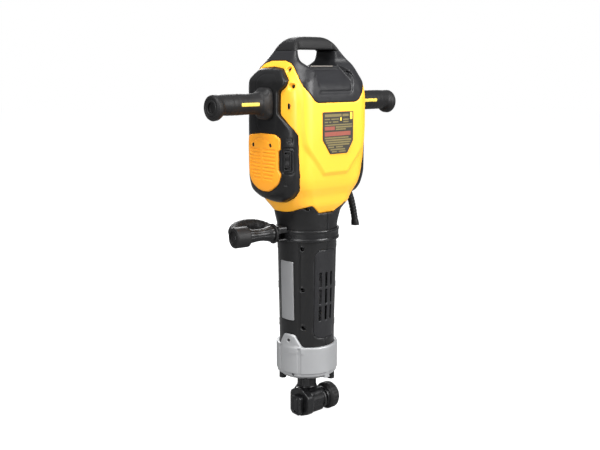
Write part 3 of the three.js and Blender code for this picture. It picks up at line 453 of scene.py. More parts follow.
def mesh_of(f, lo, hi, vox, polish=1):
    vox = vox * COARSE
    ax = [np.arange(lo[i] - 3 * vox, hi[i] + 3.5 * vox, vox, dtype=F) for i in range(3)]
    shape = tuple(len(a) for a in ax)
    d = f(ax[0][:, None, None], ax[1][None, :, None], ax[2][None, None, :])
    d = np.ascontiguousarray(np.clip(np.broadcast_to(d, shape), -3 * vox, 3 * vox), dtype=F)
    g = vdb.FloatGrid(float(3 * vox))
    g.copyFromArray(d)
    pts, tris, quads = g.convertToPolygons(isovalue=0.0, adaptivity=ADAPT)
    pts = pts.astype(F) * vox + np.array([a[0] for a in ax], F)
    e = 0.12 * vox
    for _ in range(polish):
        x, y, z = pts[:, 0].copy(), pts[:, 1].copy(), pts[:, 2].copy()
        v = np.broadcast_to(f(x, y, z), x.shape)
        gx = (np.broadcast_to(f(x + e, y, z), x.shape) - v) / e
        gy = (np.broadcast_to(f(x, y + e, z), x.shape) - v) / e
        gz = (np.broadcast_to(f(x, y, z + e), x.shape) - v) / e
        n2 = np.maximum(gx * gx + gy * gy + gz * gz, 0.2)
        s = np.clip(v / n2, -0.35 * vox, 0.35 * vox)
        pts = pts - np.stack([s * gx, s * gy, s * gz], 1)
    # quads are split along their shorter diagonal
    q = quads.astype(np.int64)
    ac = np.linalg.norm(pts[q[:, 0]] - pts[q[:, 2]], axis=1) < np.linalg.norm(pts[q[:, 1]] - pts[q[:, 3]], axis=1)
    halves = [q[ac][:, [0, 1, 2]], q[ac][:, [0, 2, 3]], q[~ac][:, [0, 1, 3]], q[~ac][:, [1, 2, 3]]]
    return pts.astype(F), np.concatenate([tris.astype(np.int64).reshape(-1, 3)] + halves)


def piece(name, parts, body, replaces=(), turn=0.0, smooth=True):
    """parts: list of (points mm, faces, material)"""
    mats, P, Fq, Mi, off = [], [], [], [], 0
    for pts, faces, mat in parts:
        if mat not in mats:
            mats.append(mat)
        P.append(np.asarray(pts, F))
        faces = np.asarray(faces)
        Fq.append(faces + off)
        Mi.append(np.full(len(faces), mats.index(mat), np.int32))
        off += len(pts)
    pts = np.concatenate(P) * F(MM)
    if turn:
        c, s = math.cos(math.radians(turn)), math.sin(math.radians(turn))
        pts = np.stack([pts[:, 0] * c - pts[:, 1] * s, pts[:, 0] * s + pts[:, 1] * c, pts[:, 2]], 1)
    me = bpy.data.meshes.new(name)
    total = sum(f.size for f in Fq)
    count = sum(len(f) for f in Fq)
    me.vertices.add(len(pts))
    me.vertices.foreach_set("co", np.ascontiguousarray(pts, dtype=F).ravel())
    me.loops.add(total)
    me.loops.foreach_set("vertex_index", np.concatenate([f.ravel() for f in Fq]).astype(np.int32))
    me.polygons.add(count)
    sizes = np.concatenate([np.full(len(f), f.shape[1], np.int32) for f in Fq])
    me.polygons.foreach_set("loop_start", np.concatenate([[0], np.cumsum(sizes)[:-1]]).astype(np.int32))
    me.polygons.foreach_set("material_index", np.concatenate(Mi))
    me.polygons.foreach_set("use_smooth", np.full(count, smooth, bool))
    me.update(calc_edges=True)
    me.validate()
    for m in mats:
        me.materials.append(m)
    o = bpy.data.objects.new(name, me)
    scene.collection.objects.link(o)
    if body:
        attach(o, body)
    if replaces:
        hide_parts(*replaces)
    return o


def lathe(profile, centre, axis, n=48, close=True):
    """closed surface of revolution: profile is (radius, distance along the axis)"""
    prof = [(max(r, 0.0), a) for r, a in profile]
    pts, faces = [], []
    rings = []
    for r, a in prof:
        if r < 1e-6:
            rings.append([len(pts)])
            pts.append((0, 0, a))
        else:
            rings.append(list(range(len(pts), len(pts) + n)))
            pts += [(r * math.cos(2 * math.pi * k / n), r * math.sin(2 * math.pi * k / n), a) for k in range(n)]
    pairs = list(zip(rings, rings[1:]))
    if close:
        pairs.append((rings[-1], rings[0]))
    tri = []
    for A, B in pairs:
        for k in range(n):
            j = (k + 1) % n
            if len(A) == 1 and len(B) == 1:
                break
            if len(A) == 1:
                tri.append((A[0], B[j], B[k]))
            elif len(B) == 1:
                tri.append((A[k], A[j], B[0]))
            else:
                tri.append((A[k], A[j], B[j]))
                tri.append((A[k], B[j], B[k]))
    P = np.array(pts, float)
    if axis == "x":
        P = P[:, [2, 0, 1]]
    elif axis == "y":
        P = P[:, [1, 2, 0]]
    P = P + np.array(centre, float)
    T = np.array(tri)
    a, b, c = P[T[:, 0]], P[T[:, 1]], P[T[:, 2]]
    if np.einsum("ij,ij->i", a, np.cross(b, c)).sum() < 0:
        T = T[:, ::-1]
    return P, T


def soften(profile, r=0.6, n=3):
    """rounds the corners of an open lathe profile"""
    out = [profile[0]]
    for p, q, s in zip(profile, profile[1:], profile[2:]):
        a, b = np.array(p) - q, np.array(s) - q
        la, lb = np.linalg.norm(a), np.linalg.norm(b)
        if la < 1e-6 or lb < 1e-6:
            continue
        d = min(r, la * 0.45, lb * 0.45)
        a, b = a / la * d, b / lb * d
        for k in range(n + 1):
            t = k / n
            out.append(tuple((1 - t) ** 2 * (q + a) + 2 * t * (1 - t) * np.array(q) + t * t * (q + b)))
    out.append(profile[-1])
    return out


# ------------------------------------------------------------------ shared shapes
BODY = [(440, 60, 56, 40), (458, 65, 61, 40), (481, 78.5, 73, 40), (502, 89.5, 81.5, 40), (518, 96.2, 87.8, 40), (536, 100.5, 90.8, 40), (575, 103.5, 92.7, 39),
        (632, 105, 94, 38), (698, 105, 93, 38), (730, 102, 89, 40), (750, 95, 82, 42), (777, 80, 67, 40), (786, 73, 48, 18), (798, 64.5, 36.5, 8)]
_z = [b[0] for b in BODY]
A_, B_, R_ = (pchip(_z, [b[i] for b in BODY]) for i in (1, 2, 3))


def envelope(x, y, z):
    a, b, r = A_(z), B_(z), R_(z)
    sl = (A_(z + 1) - A_(z - 1)) / 2
    qx, qy = np.abs(x) - (a - r), np.abs(y) - (b - r)
    d = ln(np.maximum(qx, 0), np.maximum(qy, 0)) + np.minimum(np.maximum(qx, qy), 0) - r
    return d / np.sqrt(1 + sl * sl)


SHIELD = poly(rounded([(-92, 760, 0), (-90, 640, 10), (-85, 609, 12), (-78, 597, 8), (-46, 560, 6), (-34, 545, 8), (34, 545, 8), (46, 560, 6), (78, 597, 8), (85, 609, 12), (90, 640, 10), (92, 760, 0)]))
FRONT_LINE = [(-50, 692.3, 6), (-57, 693.5, 6), (-64.6, 698, 8), (-80, 717.8, 6), (-84.5, 725, 4), (-100, 729.5, 0), (-125, 736, 0)]
SIDE_LINE = [(-22, 777, 20), (-42, 771, 20), (-53.6, 761.4, 20), (-64.6, 749.3, 20), (-73.4, 738.5, 20), (-80.5, 728, 6), (-90, 690, 0)]


def above(line, far, top):
    left = [tuple(p) for p in reversed(line)]
    right = [(-p[0], p[1], p[2]) for p in line]
    return rounded([(-far, left[0][1], 0)] + left + right + [(far, left[0][1], 0), (far, top, 0), (-far, top, 0)])


TOP_F, TOP_S = poly(above(FRONT_LINE, 140, 900)), poly(above(SIDE_LINE, 120, 900))


def top_region(x, y, z):
    return np.maximum(TOP_F(x, z), smin(TOP_S(y, z), np.abs(x) - 66, 6))


HOUSING = poly(rounded([(-34, 714, 7), (-51, 727, 5), (-53, 737, 6), (-42, 747, 8), (-27, 760, 10), (4, 764, 0), (42, 761, 8), (66, 742, 10), (77, 716, 0),
                        (80, 625, 0), (79, 548, 22), (66, 508, 24), (38, 489, 40), (6, 480.8, 40), (-24, 484.5, 40), (-51, 496.5, 40), (-67.5, 514, 30), (-74, 543, 40),
                        (-76.5, 596, 40), (-77, 628, 10), (-70, 639, 8), (-47, 658, 12), (-34, 668, 8)]))


def tab_line(x, y):
    """upper edge of the black corner tabs at the body's skirt"""
    side = np.interp(y, [-95, -78, -57, -28, 3, 8], [481.5, 480.5, 473, 463.5, 457, 448]).astype(F)
    front = np.interp(np.abs(x), [18, 24, 46, 54, 66], [450, 460.5, 476.5, 480, 482]).astype(F)
    return np.minimum(side, front)


def tab_region(x, y, z, d=0.0):
    return np.maximum((z - tab_line(x, y)) * 0.85 - d, y - 8)


# ------------------------------------------------------------------ yellow body
def body_outer(x, y, z):
    s = step(SHIELD(x, z), -5.0, 6.0)
    w = step(-y, 30, 70) * step(z, 470, 500)
    back = step(y, 56, 80) * step(z, 470, 500)
    return envelope(x, y, z) + s * (4.8 * w + 3.4 * back) * (1 - step(np.abs(x), 84, 100) * 0.85)


YELLOW_SCREWS = [(-41, 757.5), (-61.5, 725)]
REAR_SCREWS = [(64, 688), (64, 604), (46, 508)]


def yellow(x, y, z):
    e = body_outer(x, y, z)
    d = smax(e, -(e + 3.8), 1.5)
    d = smax(d, 458.6 - z, 2.5)
    d = smax(d, 0.4 - top_region(x, y, z), 2.0)
    d = smax(d, 0.35 - HOUSING(y, z) - 300 * (np.abs(x) < 55), 2.0)
    d = smax(d, -tab_region(x, y, z, 0.4), 2.0)
    for cy, cz in YELLOW_SCREWS:
        away = ln(y - cy, z - cz)
        cup = np.maximum(np.maximum(away - 9.5, 70 - np.abs(x)), np.maximum(-(e + 10), e + 2.0))
        d = smin(d, cup, 0.8)
        sink = np.maximum(away - np.maximum(7.8 + 0.72 * np.minimum(e, 0), 3.3), 70 - np.abs(x))
        d = smax(d, -sink, 1.4)
    for cx, cz in REAR_SCREWS:
        away = ln(np.abs(x) - cx, z - cz)
        cup = np.maximum(np.maximum(away - 9.0, 50 - y), np.maximum(-(e + 9), e + 2.0))
        d = smin(d, cup, 0.8)
        sink = np.maximum(away - np.maximum(7.0 + 0.72 * np.minimum(e, 0), 3.3), 50 - y)
        d = smax(d, -sink, 1.4)
    return d


def yellow_front(x, y, z):
    return smax(yellow(x, y, z), y - 51.8, 1.2)


def yellow_rear(x, y, z):
    return smax(yellow(x, y, z), 52.2 - y, 1.2)


piece("body_front_moulding", [mesh_of(yellow_front, (-105, -95, 456), (105, 52, 776), 1.5) + (MAT["yellow_shell"],)], "root", ["body_shell"])
piece("body_rear_moulding", [mesh_of(yellow_rear, (-97, 52, 456), (97, 95, 771), 2.1) + (MAT["yellow_shell"],)], "root", ["rear_shell"])

# ------------------------------------------------------------------ upper cover
OPEN = poly(rounded([(-43.5, 764.5, 6), (43.5, 764.5, 6), (52.5, 784, 8), (53, 799, 0), (53, 840, 0), (-53, 840, 0), (-53, 799, 0), (-52.5, 784, 8)]))
PANEL_GROOVE = path2([(-44, 713), (38, 713), (42.5, 716), (45, 734)], 2.4)
lean = pchip([700, 722, 730, 764, 766, 800], [0, 0, 2.0, 24.0, 24.5, 24.5])
leg = pchip([700, 722, 762, 766, 773, 781, 797, 830], [130, 120, 66, 54, 39, 30.5, 26.5, 26.0])


def legs(x, y, z, start):
    """slanted inner faces of the four corners that carry the handle"""
    return (np.abs(y) - leg(z) - 0.95 * np.maximum(np.abs(x) - start, 0)) / 1.35


def top_cover(x, y, z):
    e = envelope(x, y, z)
    # panel that leans back between the two feet, front and rear
    inset = lean(z) * step(51 - np.abs(x), 0, 5) * step(np.abs(y), 22, 34)
    inner = np.maximum(e + 4.2, z - 722)
    d = smax(e + inset, -inner, 1.5)
    d = smax(d, top_region(x, y, z), 2.0)
    d = smax(d, legs(x, y, z, 50), 5.0)
    # hand opening
    d = smax(d, -OPEN(x, z), 4.0)
    core = 797.55 + 0.30 * step(-d, 1.6, 3.0)
    d = smax(d, z - core, 0.7)
    d = smax(d, -np.maximum(PANEL_GROOVE(x, z), -(e + 1.5)), 2.4)
    # two slits at the foot of the panel's side rails
    slit = np.maximum(np.abs(np.abs(x) - 51.5 + 0.45 * (z - 750)) - 1.1, np.maximum(np.abs(z - 750) - 5.5, -y - 90))
    d = smax(d, -np.maximum(slit, -(e + 9.0 + 0.55 * np.maximum(z - 735, 0))), 0.8)
    # low ridge along the front edge of the hand opening's floor
    ridge = np.maximum(slab(np.abs(y), 50.0, 54.5), np.maximum(slab(z, 760, 766.0), np.abs(x) - 41))
    return smin(d, ridge, 2.0)


# painted highlight: a slim lighter grey rod laid along part of the floor's front edge, standing for the light caught
# there
def floor_lip_painted_highlight(x, y, z):
    return smax(ln(y + 54.6, z - 765.4) - 1.25, np.abs(x + 9) - 31, 1.2)


piece("upper_cover_moulding", [mesh_of(top_cover, (-102, -93, 690), (102, 93, 798), 1.5) + (MAT["grey_cover"],),
                               mesh_of(floor_lip_painted_highlight, (-42, -57, 763), (24, -52, 768), 0.5) + (EXTRA["highlight_grey_painted"],)], "root", ["top_cover"])

# ------------------------------------------------------------------ carrying handle
HB = [(797, 65, 36.8, 8), (804, 61.5, 33.5, 9), (812, 56, 29.5, 10), (818, 49.5, 26, 11), (823, 41, 21, 11.5), (826, 30, 16, 10), (827.5, 18, 9, 8)]
ha, hb, hr = (pchip([h[0] for h in HB], [h[i] for h in HB]) for i in (1, 2, 3))


def handle(x, y, z):
    a, b, r = ha(z), hb(z), hr(z)
    sl = (ha(z + 0.7) - ha(z - 0.7)) / 1.4
    qx, qy = np.abs(x) - (a - r), np.abs(y) - (b - r)
    d = (ln(np.maximum(qx, 0), np.maximum(qy, 0)) + np.minimum(np.maximum(qx, qy), 0) - r) / np.sqrt(1 + sl * sl * 0.6)
    d = smax(d, z - 826.9, 3.0)
    d = smax(d, legs(x, y, z, 47), 6.0)
    d = smax(d, 797.9 - 0.20 * step(-d, -0.2, 0.6) * (1 - step(-d, 1.0, 1.6)) - z, 0.5)
    under = rrect(x, z - 790, 52.5, 9.6, 3)
    d = smax(d, -under, 3.5)
    return d


piece("carrying_handle_grip", [mesh_of(handle, (-66, -38, 797), (66, 38, 827), 1.1) + (MAT["grip_rubber"],)], "root", ["carry_handle"])

# ------------------------------------------------------------------ side housings
_px = pchip([-88, -82, -78, -63, -46, -18, 22, 52, 71, 90], [85, 89, 95, 107, 112, 114.3, 114.3, 111, 103, 82])
_dz = pchip([478, 484, 492, 502, 514, 540, 732, 736, 740, 753, 757, 766], [34, 24, 14.5, 7.5, 3.2, 0, 0, 0.6, 2.3, 10.5, 13.5, 26])


def bulge(x, y, z):
    p, q = _px(y), _dz(z)
    gp = (_px(y + 1) - _px(y - 1)) / 2
    gq = (_dz(z + 1) - _dz(z - 1)) / 2
    corner = 9.0 * step(-y, 36, 82) * (1 - step(z, 494, 552))
    return (np.abs(x) - (p - q - corner)) / np.sqrt(1 + gp * gp + gq * gq)


COVER = poly(rounded([(-45, 546, 24), (-36, 524.5, 42), (-4, 506, 46), (26, 506, 46), (53.5, 521, 40), (67, 547, 40), (69, 606, 0), (64, 623, 9), (17, 629, 8), (-28, 627.5, 9), (-42.5, 619, 7), (-42.5, 598, 0), (-37.5, 593, 3), (-37.5, 556, 3)]))
SLOT = poly(rounded([(-15, 666, 14), (15, 666, 14), (15, 714, 14), (-15, 714, 14)]))
SW = math.radians(24)
swc, sws = math.cos(SW), math.sin(SW)


def to_switch(x, y):
    dx, dy = x + 104, y + 59
    return dx * swc + dy * sws, -dx * sws + dy * swc


def vent_square(x, y, z):
    b = bulge(x, y, z)
    d = np.maximum(np.maximum(rrect(y + 63, z - 617, 4.3, 4.1, 0.6), b + 0.45), -(b + 2.3))
    d = smax(d, -np.maximum(rrect(y + 63, z - 617, 1.9, 1.7, 0.5), -(b + 1.3)), 0.4)
    return np.maximum(d, x)


MARK_3 = poly([(-57, 524), (-47, 524), (-52, 533)])


def housing(side):
    def f(x, y, z):
        b = bulge(x, y, z)
        # shallow dome over the handle bar and a flat land round it
        dome = ln((y + 6) / 1.25, (z - 724) * 1.1)
        b = b - 1.6 * (1 - step(dome, 4, 17)) * (z > 712)
        b = b + 0.5 * (1 - step(np.abs(rrect(y, z - 690, 33, 60, 22)), 0.0, 3.5))
        out = HOUSING(y, z)
        d = smax(b, out, 4.5)
        inner = np.maximum(np.maximum(bulge(x, y, z) + 3.8, out + 3.6), -300)
        d = smax(d, -inner, 1.5)
        d = smax(d, 67 - np.abs(x), 1.5)
        d = smax(d, -np.maximum(COVER(y, z) - 0.5, -(bulge(x, y, z) + 2.4)), 1.2)
        d = smax(d, -(COVER(y, z) + 7), 1.5)
        d = smax(d, -SLOT(y, z), 1.5)
        if side < 0:
            sx_, sy_ = to_switch(x, y)
            d = smax(d, -np.maximum(rrect(sy_, z - 575.5, 8.25, 20.75, 2.0), -sx_ - 40), 1.6)
            # shallow frame round the switch, square vent, small mark
            fr = np.abs(rrect(sy_, z - 575.5, 12.5, 26, 4)) - 1.5
            d = smax(d, -np.maximum(fr, -(bulge(x, y, z) + 2.0)), 1.2)
            d = smax(d, -np.maximum(rrect(y + 63, z - 617, 4.4, 4.2, 0.6), -(bulge(x, y, z) + 1.7)), 0.8)
            d = smax(d, -np.maximum(MARK_3(y, z), -(bulge(x, y, z) + 1.1)), 0.6)
        else:
            d = smax(d, -np.maximum(ln(x - 103, y + 20) - 8.8, z - 520), 1.2)
        s = side
        return np.maximum(d, -s * x)
    return f


for side, word in ((-1, "left"), (1, "right")):
    lo, hi = ((-116, -84, 481), (-66, 82, 767)) if side < 0 else ((66, -84, 481), (116, 82, 767))
    parts = [mesh_of(housing(side), lo, hi, 1.2) + (MAT["black_plastic"],)]
    if side < 0:
        # dark square insert laid in the vent recess: painted shade of the opening
        parts.append(mesh_of(vent_square, (-110, -69, 611), (-98, -57, 623), 0.5) + (EXTRA["recess_painted_shade"],))
    piece(word + "_housing_moulding", parts, "root", [word + "_side_housing"])


def vent_cover(side):
    arch = path2([(45, 597), (43, 606), (37, 613), (25, 617), (10, 618), (-4, 615), (-14, 609)], 1.4)

    def f(x, y, z):
        b = bulge(x, y, z)
        d = smax(b - 2.2, COVER(y, z) + 0.2, 3.6)
        d = smax(d, -(b + 2.0), 1.0)
        for i in range(9):
            zc = 598 - 7.6 * i - 3
            k = 0 if i < 6 else (i - 5) * 3.6
            for lo_, hi_ in ((18, 55 - k * 1.5), (-29 + k, 10)):
                g = rrect(y - (lo_ + hi_) / 2, z - zc, (hi_ - lo_) / 2, 1.75, 1.6)
                d = smax(d, -np.maximum(g, -(b - 0.7)), 1.0)
        d = smax(d, -np.maximum(arch(y, z), -(b - 1.3)), 1.6)
        for cy, cz in ((43, 603), (-14, 604.5)):
            d = smax(d, -(ln(y - cy, z - cz) - 4.3), 1.0)
        s = side
        return np.maximum(d, -s * x)
    return f


for side, word in ((-1, "left"), (1, "right")):
    lo, hi = ((-118, -48, 504), (-90, 72, 632)) if side < 0 else ((90, -48, 504), (118, 72, 632))
    # the vent panels take the yellow plastic with painted shade (darker, more orange than the body)
    piece(word + "_vent_panel", [mesh_of(vent_cover(side), lo, hi, 0.8) + (MAT["amber_cover"],)], "root", [word + "_vent_cover"])


# ------------------------------------------------------------------ screws sunk in the mouldings
def screw_head(r, h, key):
    def f(x, y, z):
        d = smax(ln(y, z) - r, slab(x, -h, 0), 0.7)
        a = np.arctan2(z, y)
        star = ln(y, z) - key * (1 + 0.14 * np.cos(6 * a))
        return smax(d, -np.maximum(star, -(x + h * 0.65)), 0.3)
    return mesh_of(f, (-h, -r, -r), (0, r, r), 0.42)


def placed(mesh, at, direction):
    """turns a head that faces +X to face the direction, and puts it at the point"""
    P, Q = mesh
    v = Vector(direction).normalized()
    m = np.array(v.to_track_quat("X", "Z").to_matrix(), F)
    return P @ m.T + np.array(at, F), Q


small = screw_head(3.6, 3.0, 1.9)
screws = []
for sx in (-1, 1):
    for cy, cz in YELLOW_SCREWS:
        b_ = float(B_(np.array([cz], F))[0]); a_ = float(A_(np.array([cz], F))[0]); r_ = float(R_(np.array([cz], F))[0])
        yy = min(abs(cy), b_ - 0.5)
        xs = a_ if yy < b_ - r_ else a_ - r_ + math.sqrt(max(r_ * r_ - (yy - b_ + r_) ** 2, 0))
        screws.append(placed(small, (sx * (xs - 6.4), cy, cz), (sx, 0, 0)) + (MAT["dark_steel"],))
    for cy, cz in ((43, 603), (-14, 604.5)):
        xs = float(_px(np.array([cy], F))[0]) - float(_dz(np.array([cz], F))[0])
        # vent-cover screw heads: dark screws, darkened further with the painted shade of their holes
        screws.append(placed(screw_head(3.9, 4.2, 2.0), (sx * (xs + 1.3), cy, cz), (sx, 0, 0)) + (EXTRA["recess_painted_shade"],))
    for cx, cz in REAR_SCREWS:
        ys = np.linspace(55, 95, 401).astype(F)
        e = body_outer(np.full_like(ys, cx), ys, np.full_like(ys, cz))
        y0 = float(ys[np.argmin(np.abs(e))])
        screws.append(placed(small, (sx * cx, y0 - 6.0, cz), (0, 1, 0)) + (MAT["dark_steel"],))
piece("moulding_screws", screws, "root")

# ------------------------------------------------------------------ rating label
LABEL = rounded([(-43, 673, 1.5), (44, 673, 1.5), (44, 612, 3), (27.5, 586.5, 2.5), (-20.5, 586.5, 2.5), (-43, 617, 3)], 3)


def slabbed(pts, y0, y1, inset=0.25):
    """bevelled plate of an outline on the X-Z plane, facing -Y"""
    P = np.array([p[:2] for p in pts], float)
    area = 0.5 * np.sum(P[:, 0] * np.roll(P[:, 1], -1) - np.roll(P[:, 0], -1) * P[:, 1])
    if area < 0:
        P = P[::-1]
    c = P.mean(0)
    I = P + (c - P) / np.maximum(np.linalg.norm(c - P, axis=1, keepdims=True), 1e-6) * inset
    n = len(P)
    V = [(p[0], y1, p[1]) for p in P] + [(p[0], y0 + inset, p[1]) for p in P] + [(p[0], y0, p[1]) for p in I]
    V += [(c[0], y0, c[1]), (c[0], y1, c[1])]
    T = []
    for i in range(n):
        j = (i + 1) % n
        for a in (0, n):
            T += [(a + i, a + n + i, a + n + j), (a + i, a + n + j, a + j)]
        T.append((2 * n + i, 3 * n, 2 * n + j))
        T.append((i, j, 3 * n + 1))
    P3, T3 = np.array(V), np.array(T)
    a, b, d = P3[T3[:, 0]] - P3.mean(0), P3[T3[:, 1]] - P3.mean(0), P3[T3[:, 2]] - P3.mean(0)
    if np.einsum("ij,ij->i", a, np.cross(b, d)).sum() < 0:
        T3 = T3[:, ::-1]
    return P3, T3


FACE_Y = -float(B_(np.array([630], F))[0])
label_parts = [slabbed(LABEL, FACE_Y - 1.6, FACE_Y + 1.0, 0.4) + (EXTRA["plate_dark"],)]
ROWS = [
    (-38.5, 9, 665.8, 5.6, "t"), (12, 30, 665.8, 5.0, "t"), (34, 41, 664.2, 14.5, "y"), (-38.5, -24, 658.2, 2.4, "t"), (-20, 2, 658.2, 2.4, "t"), (5.5, 9.5, 657.8, 7.0, "y"), (14, 30, 656.8, 3.0, "t"),
    (-38.5, -29, 652.4, 2.6, "t"), (-26, -20, 652.4, 2.6, "t"), (-16, 0, 652.4, 2.6, "t"), (14, 30, 652.0, 2.6, "t"),
    (-38.5, 41, 646.4, 2.6, "t"), (-38.5, -10, 639.6, 7.4, "r"), (-7.5, 41, 641.6, 3.4, "t"), (-7.5, 22, 637.0, 3.0, "t"), (-38.5, 36, 628.0, 8.6, "r"),
    (-38.5, 30, 619.8, 3.0, "t"), (-36, 38, 615.0, 3.4, "t"), (-34, 36, 610.2, 3.0, "t"), (-30, 33, 605.4, 3.2, "t"), (-28, -12, 600.6, 3.0, "t"), (-6, 14, 600.6, 3.0, "t"), (-22, 20, 595.6, 3.0, "t"), (-18, -4, 591.0, 2.4, "t"), (2, 22, 591.0, 2.4, "t"),
]
for x0, x1, zc, h, kind in ROWS:
    outline = rounded([(x0, zc - h / 2, 0.4), (x1, zc - h / 2, 0.4), (x1, zc + h / 2, 0.4), (x0, zc + h / 2, 0.4)], 2)
    label_parts.append(slabbed(outline, FACE_Y - 1.78, FACE_Y - 1.2, 0.08) + (EXTRA[{"t": "print_tan", "r": "print_red", "y": "print_yellow"}[kind]],))
piece("rating_plate", label_parts, "root", ["rating_label"], smooth=False)

# ------------------------------------------------------------------ indicator window on the left cheek
def window(x, y, z):
    e = envelope(x, y, z)
    d = np.maximum(rrect(y + 60, z - 686, 3.0, 6.0, 2.9), np.abs(e - 0.1) - 0.8)
    return np.maximum(smax(d, -d - 50, 0.5), x)


piece("indicator_window", [mesh_of(window, (-106, -66, 678), (-94, -54, 694), 0.6) + (EXTRA["lit_window"],)], "root")

# ------------------------------------------------------------------ neck
neck_r = pchip([131, 190, 300, 394, 424, 457.5], [60, 60.3, 62.4, 64.2, 65.2, 67.3])
NECK_SCREWS = [381, 291, 206]


def around(x, y, deg):
    """angle about Z, measured from a direction"""
    c, s = math.cos(math.radians(deg)), math.sin(math.radians(deg))
    return np.arctan2(y * c - x * s, x * c + y * s)


def neck(side):
    def f(x, y, z):
        rho = ln(x, y)
        r = neck_r(z)
        th = np.arctan2(-y, np.abs(x))           # 90 degrees at the front
        t = step(z, 424, 461)
        outer = smin(rho - r, (rho - r) * (1 - t) + (envelope(x, y, np.maximum(z, 458.0)) + 1.0) * t, 2.0)
        tubev = np.maximum(outer, -(rho - (r - 4.2)))
        d = smax(tubev, slab(z, 131.2, 458.5), 1.2)
        e = envelope(x, y, z)
        skin = np.maximum(np.maximum(e + 0.2, -(e + 4.0)), np.maximum(tab_region(x, y, z), 456.5 - z))
        web = np.maximum(np.maximum(np.maximum(rho - 74, 62.8 - rho), e + 0.2), np.maximum(slab(z, 452, 462), tab_region(x, y, z)))
        d = smin(d, np.minimum(skin, web), 3.0)
        # slight flat band where the halves meet, vent panel seat, screws
        for s in (-1, 1):
            arc = np.arctan2(np.abs(x), s * y) * r
            panel = rrect(arc, z - 280, VENT_HALF_ARC, 98.3, 16)
            d = smax(d, -panel, 1.2)
        for cz in NECK_SCREWS:
            for s in (-1, 1):
                hole = np.maximum(ln(y - s * 39, z - cz) - 4.3, 30 - np.abs(x))
                rim = np.maximum(ln(y - s * 39, z - cz) - 6.6, 30 - np.abs(x))
                rim = np.maximum(rim, rho - r - 0.9)
                d = smax(smin(d, np.maximum(rim, -(rho - r + 3)), 2.0), -np.maximum(hole, -(rho - r + 5.0)), 1.2)
        d = smax(d, -np.maximum(ln(y + 58, z - 470) - 3.7, 30 - np.abs(x)), 1.0)
        if side < 0:
            a2 = around(x, y, 182) * r
            plate = rrect(a2, z - 286.5, 20.0, 65.7, 3.0)
            d = smax(d, -np.maximum(plate, -(rho - r + 1.0)), 0.8)
        # two shallow fluting lines down the flanks
        for deg in (33, -33):
            arc = (np.arctan2(-y, x * side) - math.radians(deg)) * r
            flute = np.maximum(rrect(arc, z - 285, 1.5, 118, 1.4), -(rho - r + 0.9))
            d = smax(d, -flute, 1.2)
        return smax(d, 0.25 - side * x, 0.8)
    return f


VENT_HALF_ARC = math.radians(27.5) * 62.3
for side, word in ((-1, "left"), (1, "right")):
    lo, hi = ((-73, -74, 131), (0, 68, 483)) if side < 0 else ((0, -74, 131), (73, 68, 483))
    piece(word + "_neck_moulding", [mesh_of(neck(side), lo, hi, 1.6) + (MAT["black_plastic"],)], "root", ["neck_sleeve_" + word])


def vent(sgn):
    def f(x, y, z):
        rho, r = ln(x, y), neck_r(z)
        arc = np.arctan2(x, sgn * y) * r
        d = smax(rrect(arc, z - 280, VENT_HALF_ARC - 0.5, 97.8, 15.6), np.maximum(rho - r - 0.5, -(rho - r + 3.4)), 1.2)
        for deg in (-14.5, 0, 14.5):
            for cz in (237, 274.5, 312):
                d = smax(d, -rrect(arc - math.radians(deg) * r, z - cz, 3.1, 16.3, 2.6), 1.0)
        return np.maximum(d, -sgn * y)
    return f


for sgn, word in ((-1, "front"), (1, "rear")):
    lo, hi = ((-32, -66, 181), (32, -50, 379)) if sgn < 0 else ((-32, 50, 181), (32, 66, 379))
    piece(word + "_neck_grille", [mesh_of(vent(sgn), lo, hi, 0.95) + (MAT["grey_cover"],)], "root", ["neck_vent_" + word])


def name_plate(x, y, z):
    rho, r = ln(x, y), neck_r(z)
    arc = around(x, y, 182) * r
    d = smax(rrect(arc, z - 286.5, 19.5, 65.2, 2.6), np.maximum(rho - r - 0.55, -(rho - r + 1.5)), 0.6)
    d = smax(d, -np.maximum(np.abs(rrect(arc, z - 286.5, 17.4, 63.0, 2.0)) - 0.45, -(rho - r - 0.15)), 0.5)
    return np.maximum(d, x + 30)


piece("plain_nameplate", [mesh_of(name_plate, (-68, -26, 219), (-52, 26, 354), 0.9) + (MAT["silver_plate"],)], "root", ["nameplate"])

neck_screws = []
for sx in (-1, 1):
    for cz in NECK_SCREWS:
        for s in (-1, 1):
            r = float(neck_r(np.array([cz], F))[0])
            xs = math.sqrt(r * r - 39 * 39)
            neck_screws.append(placed(small, (sx * (xs - 4.0), s * 39, cz), (sx, 0, 0)) + (MAT["dark_steel"],))
piece("neck_moulding_screws", neck_screws, "root")

# ------------------------------------------------------------------ cast front housing
EAR = poly(rounded([(-34, 150, 0), (34, 150, 0), (30, 161, 6), (23, 174, 7), (13, 190.5, 7), (-13, 190.5, 7), (-23, 174, 7), (-30, 161, 6)]))


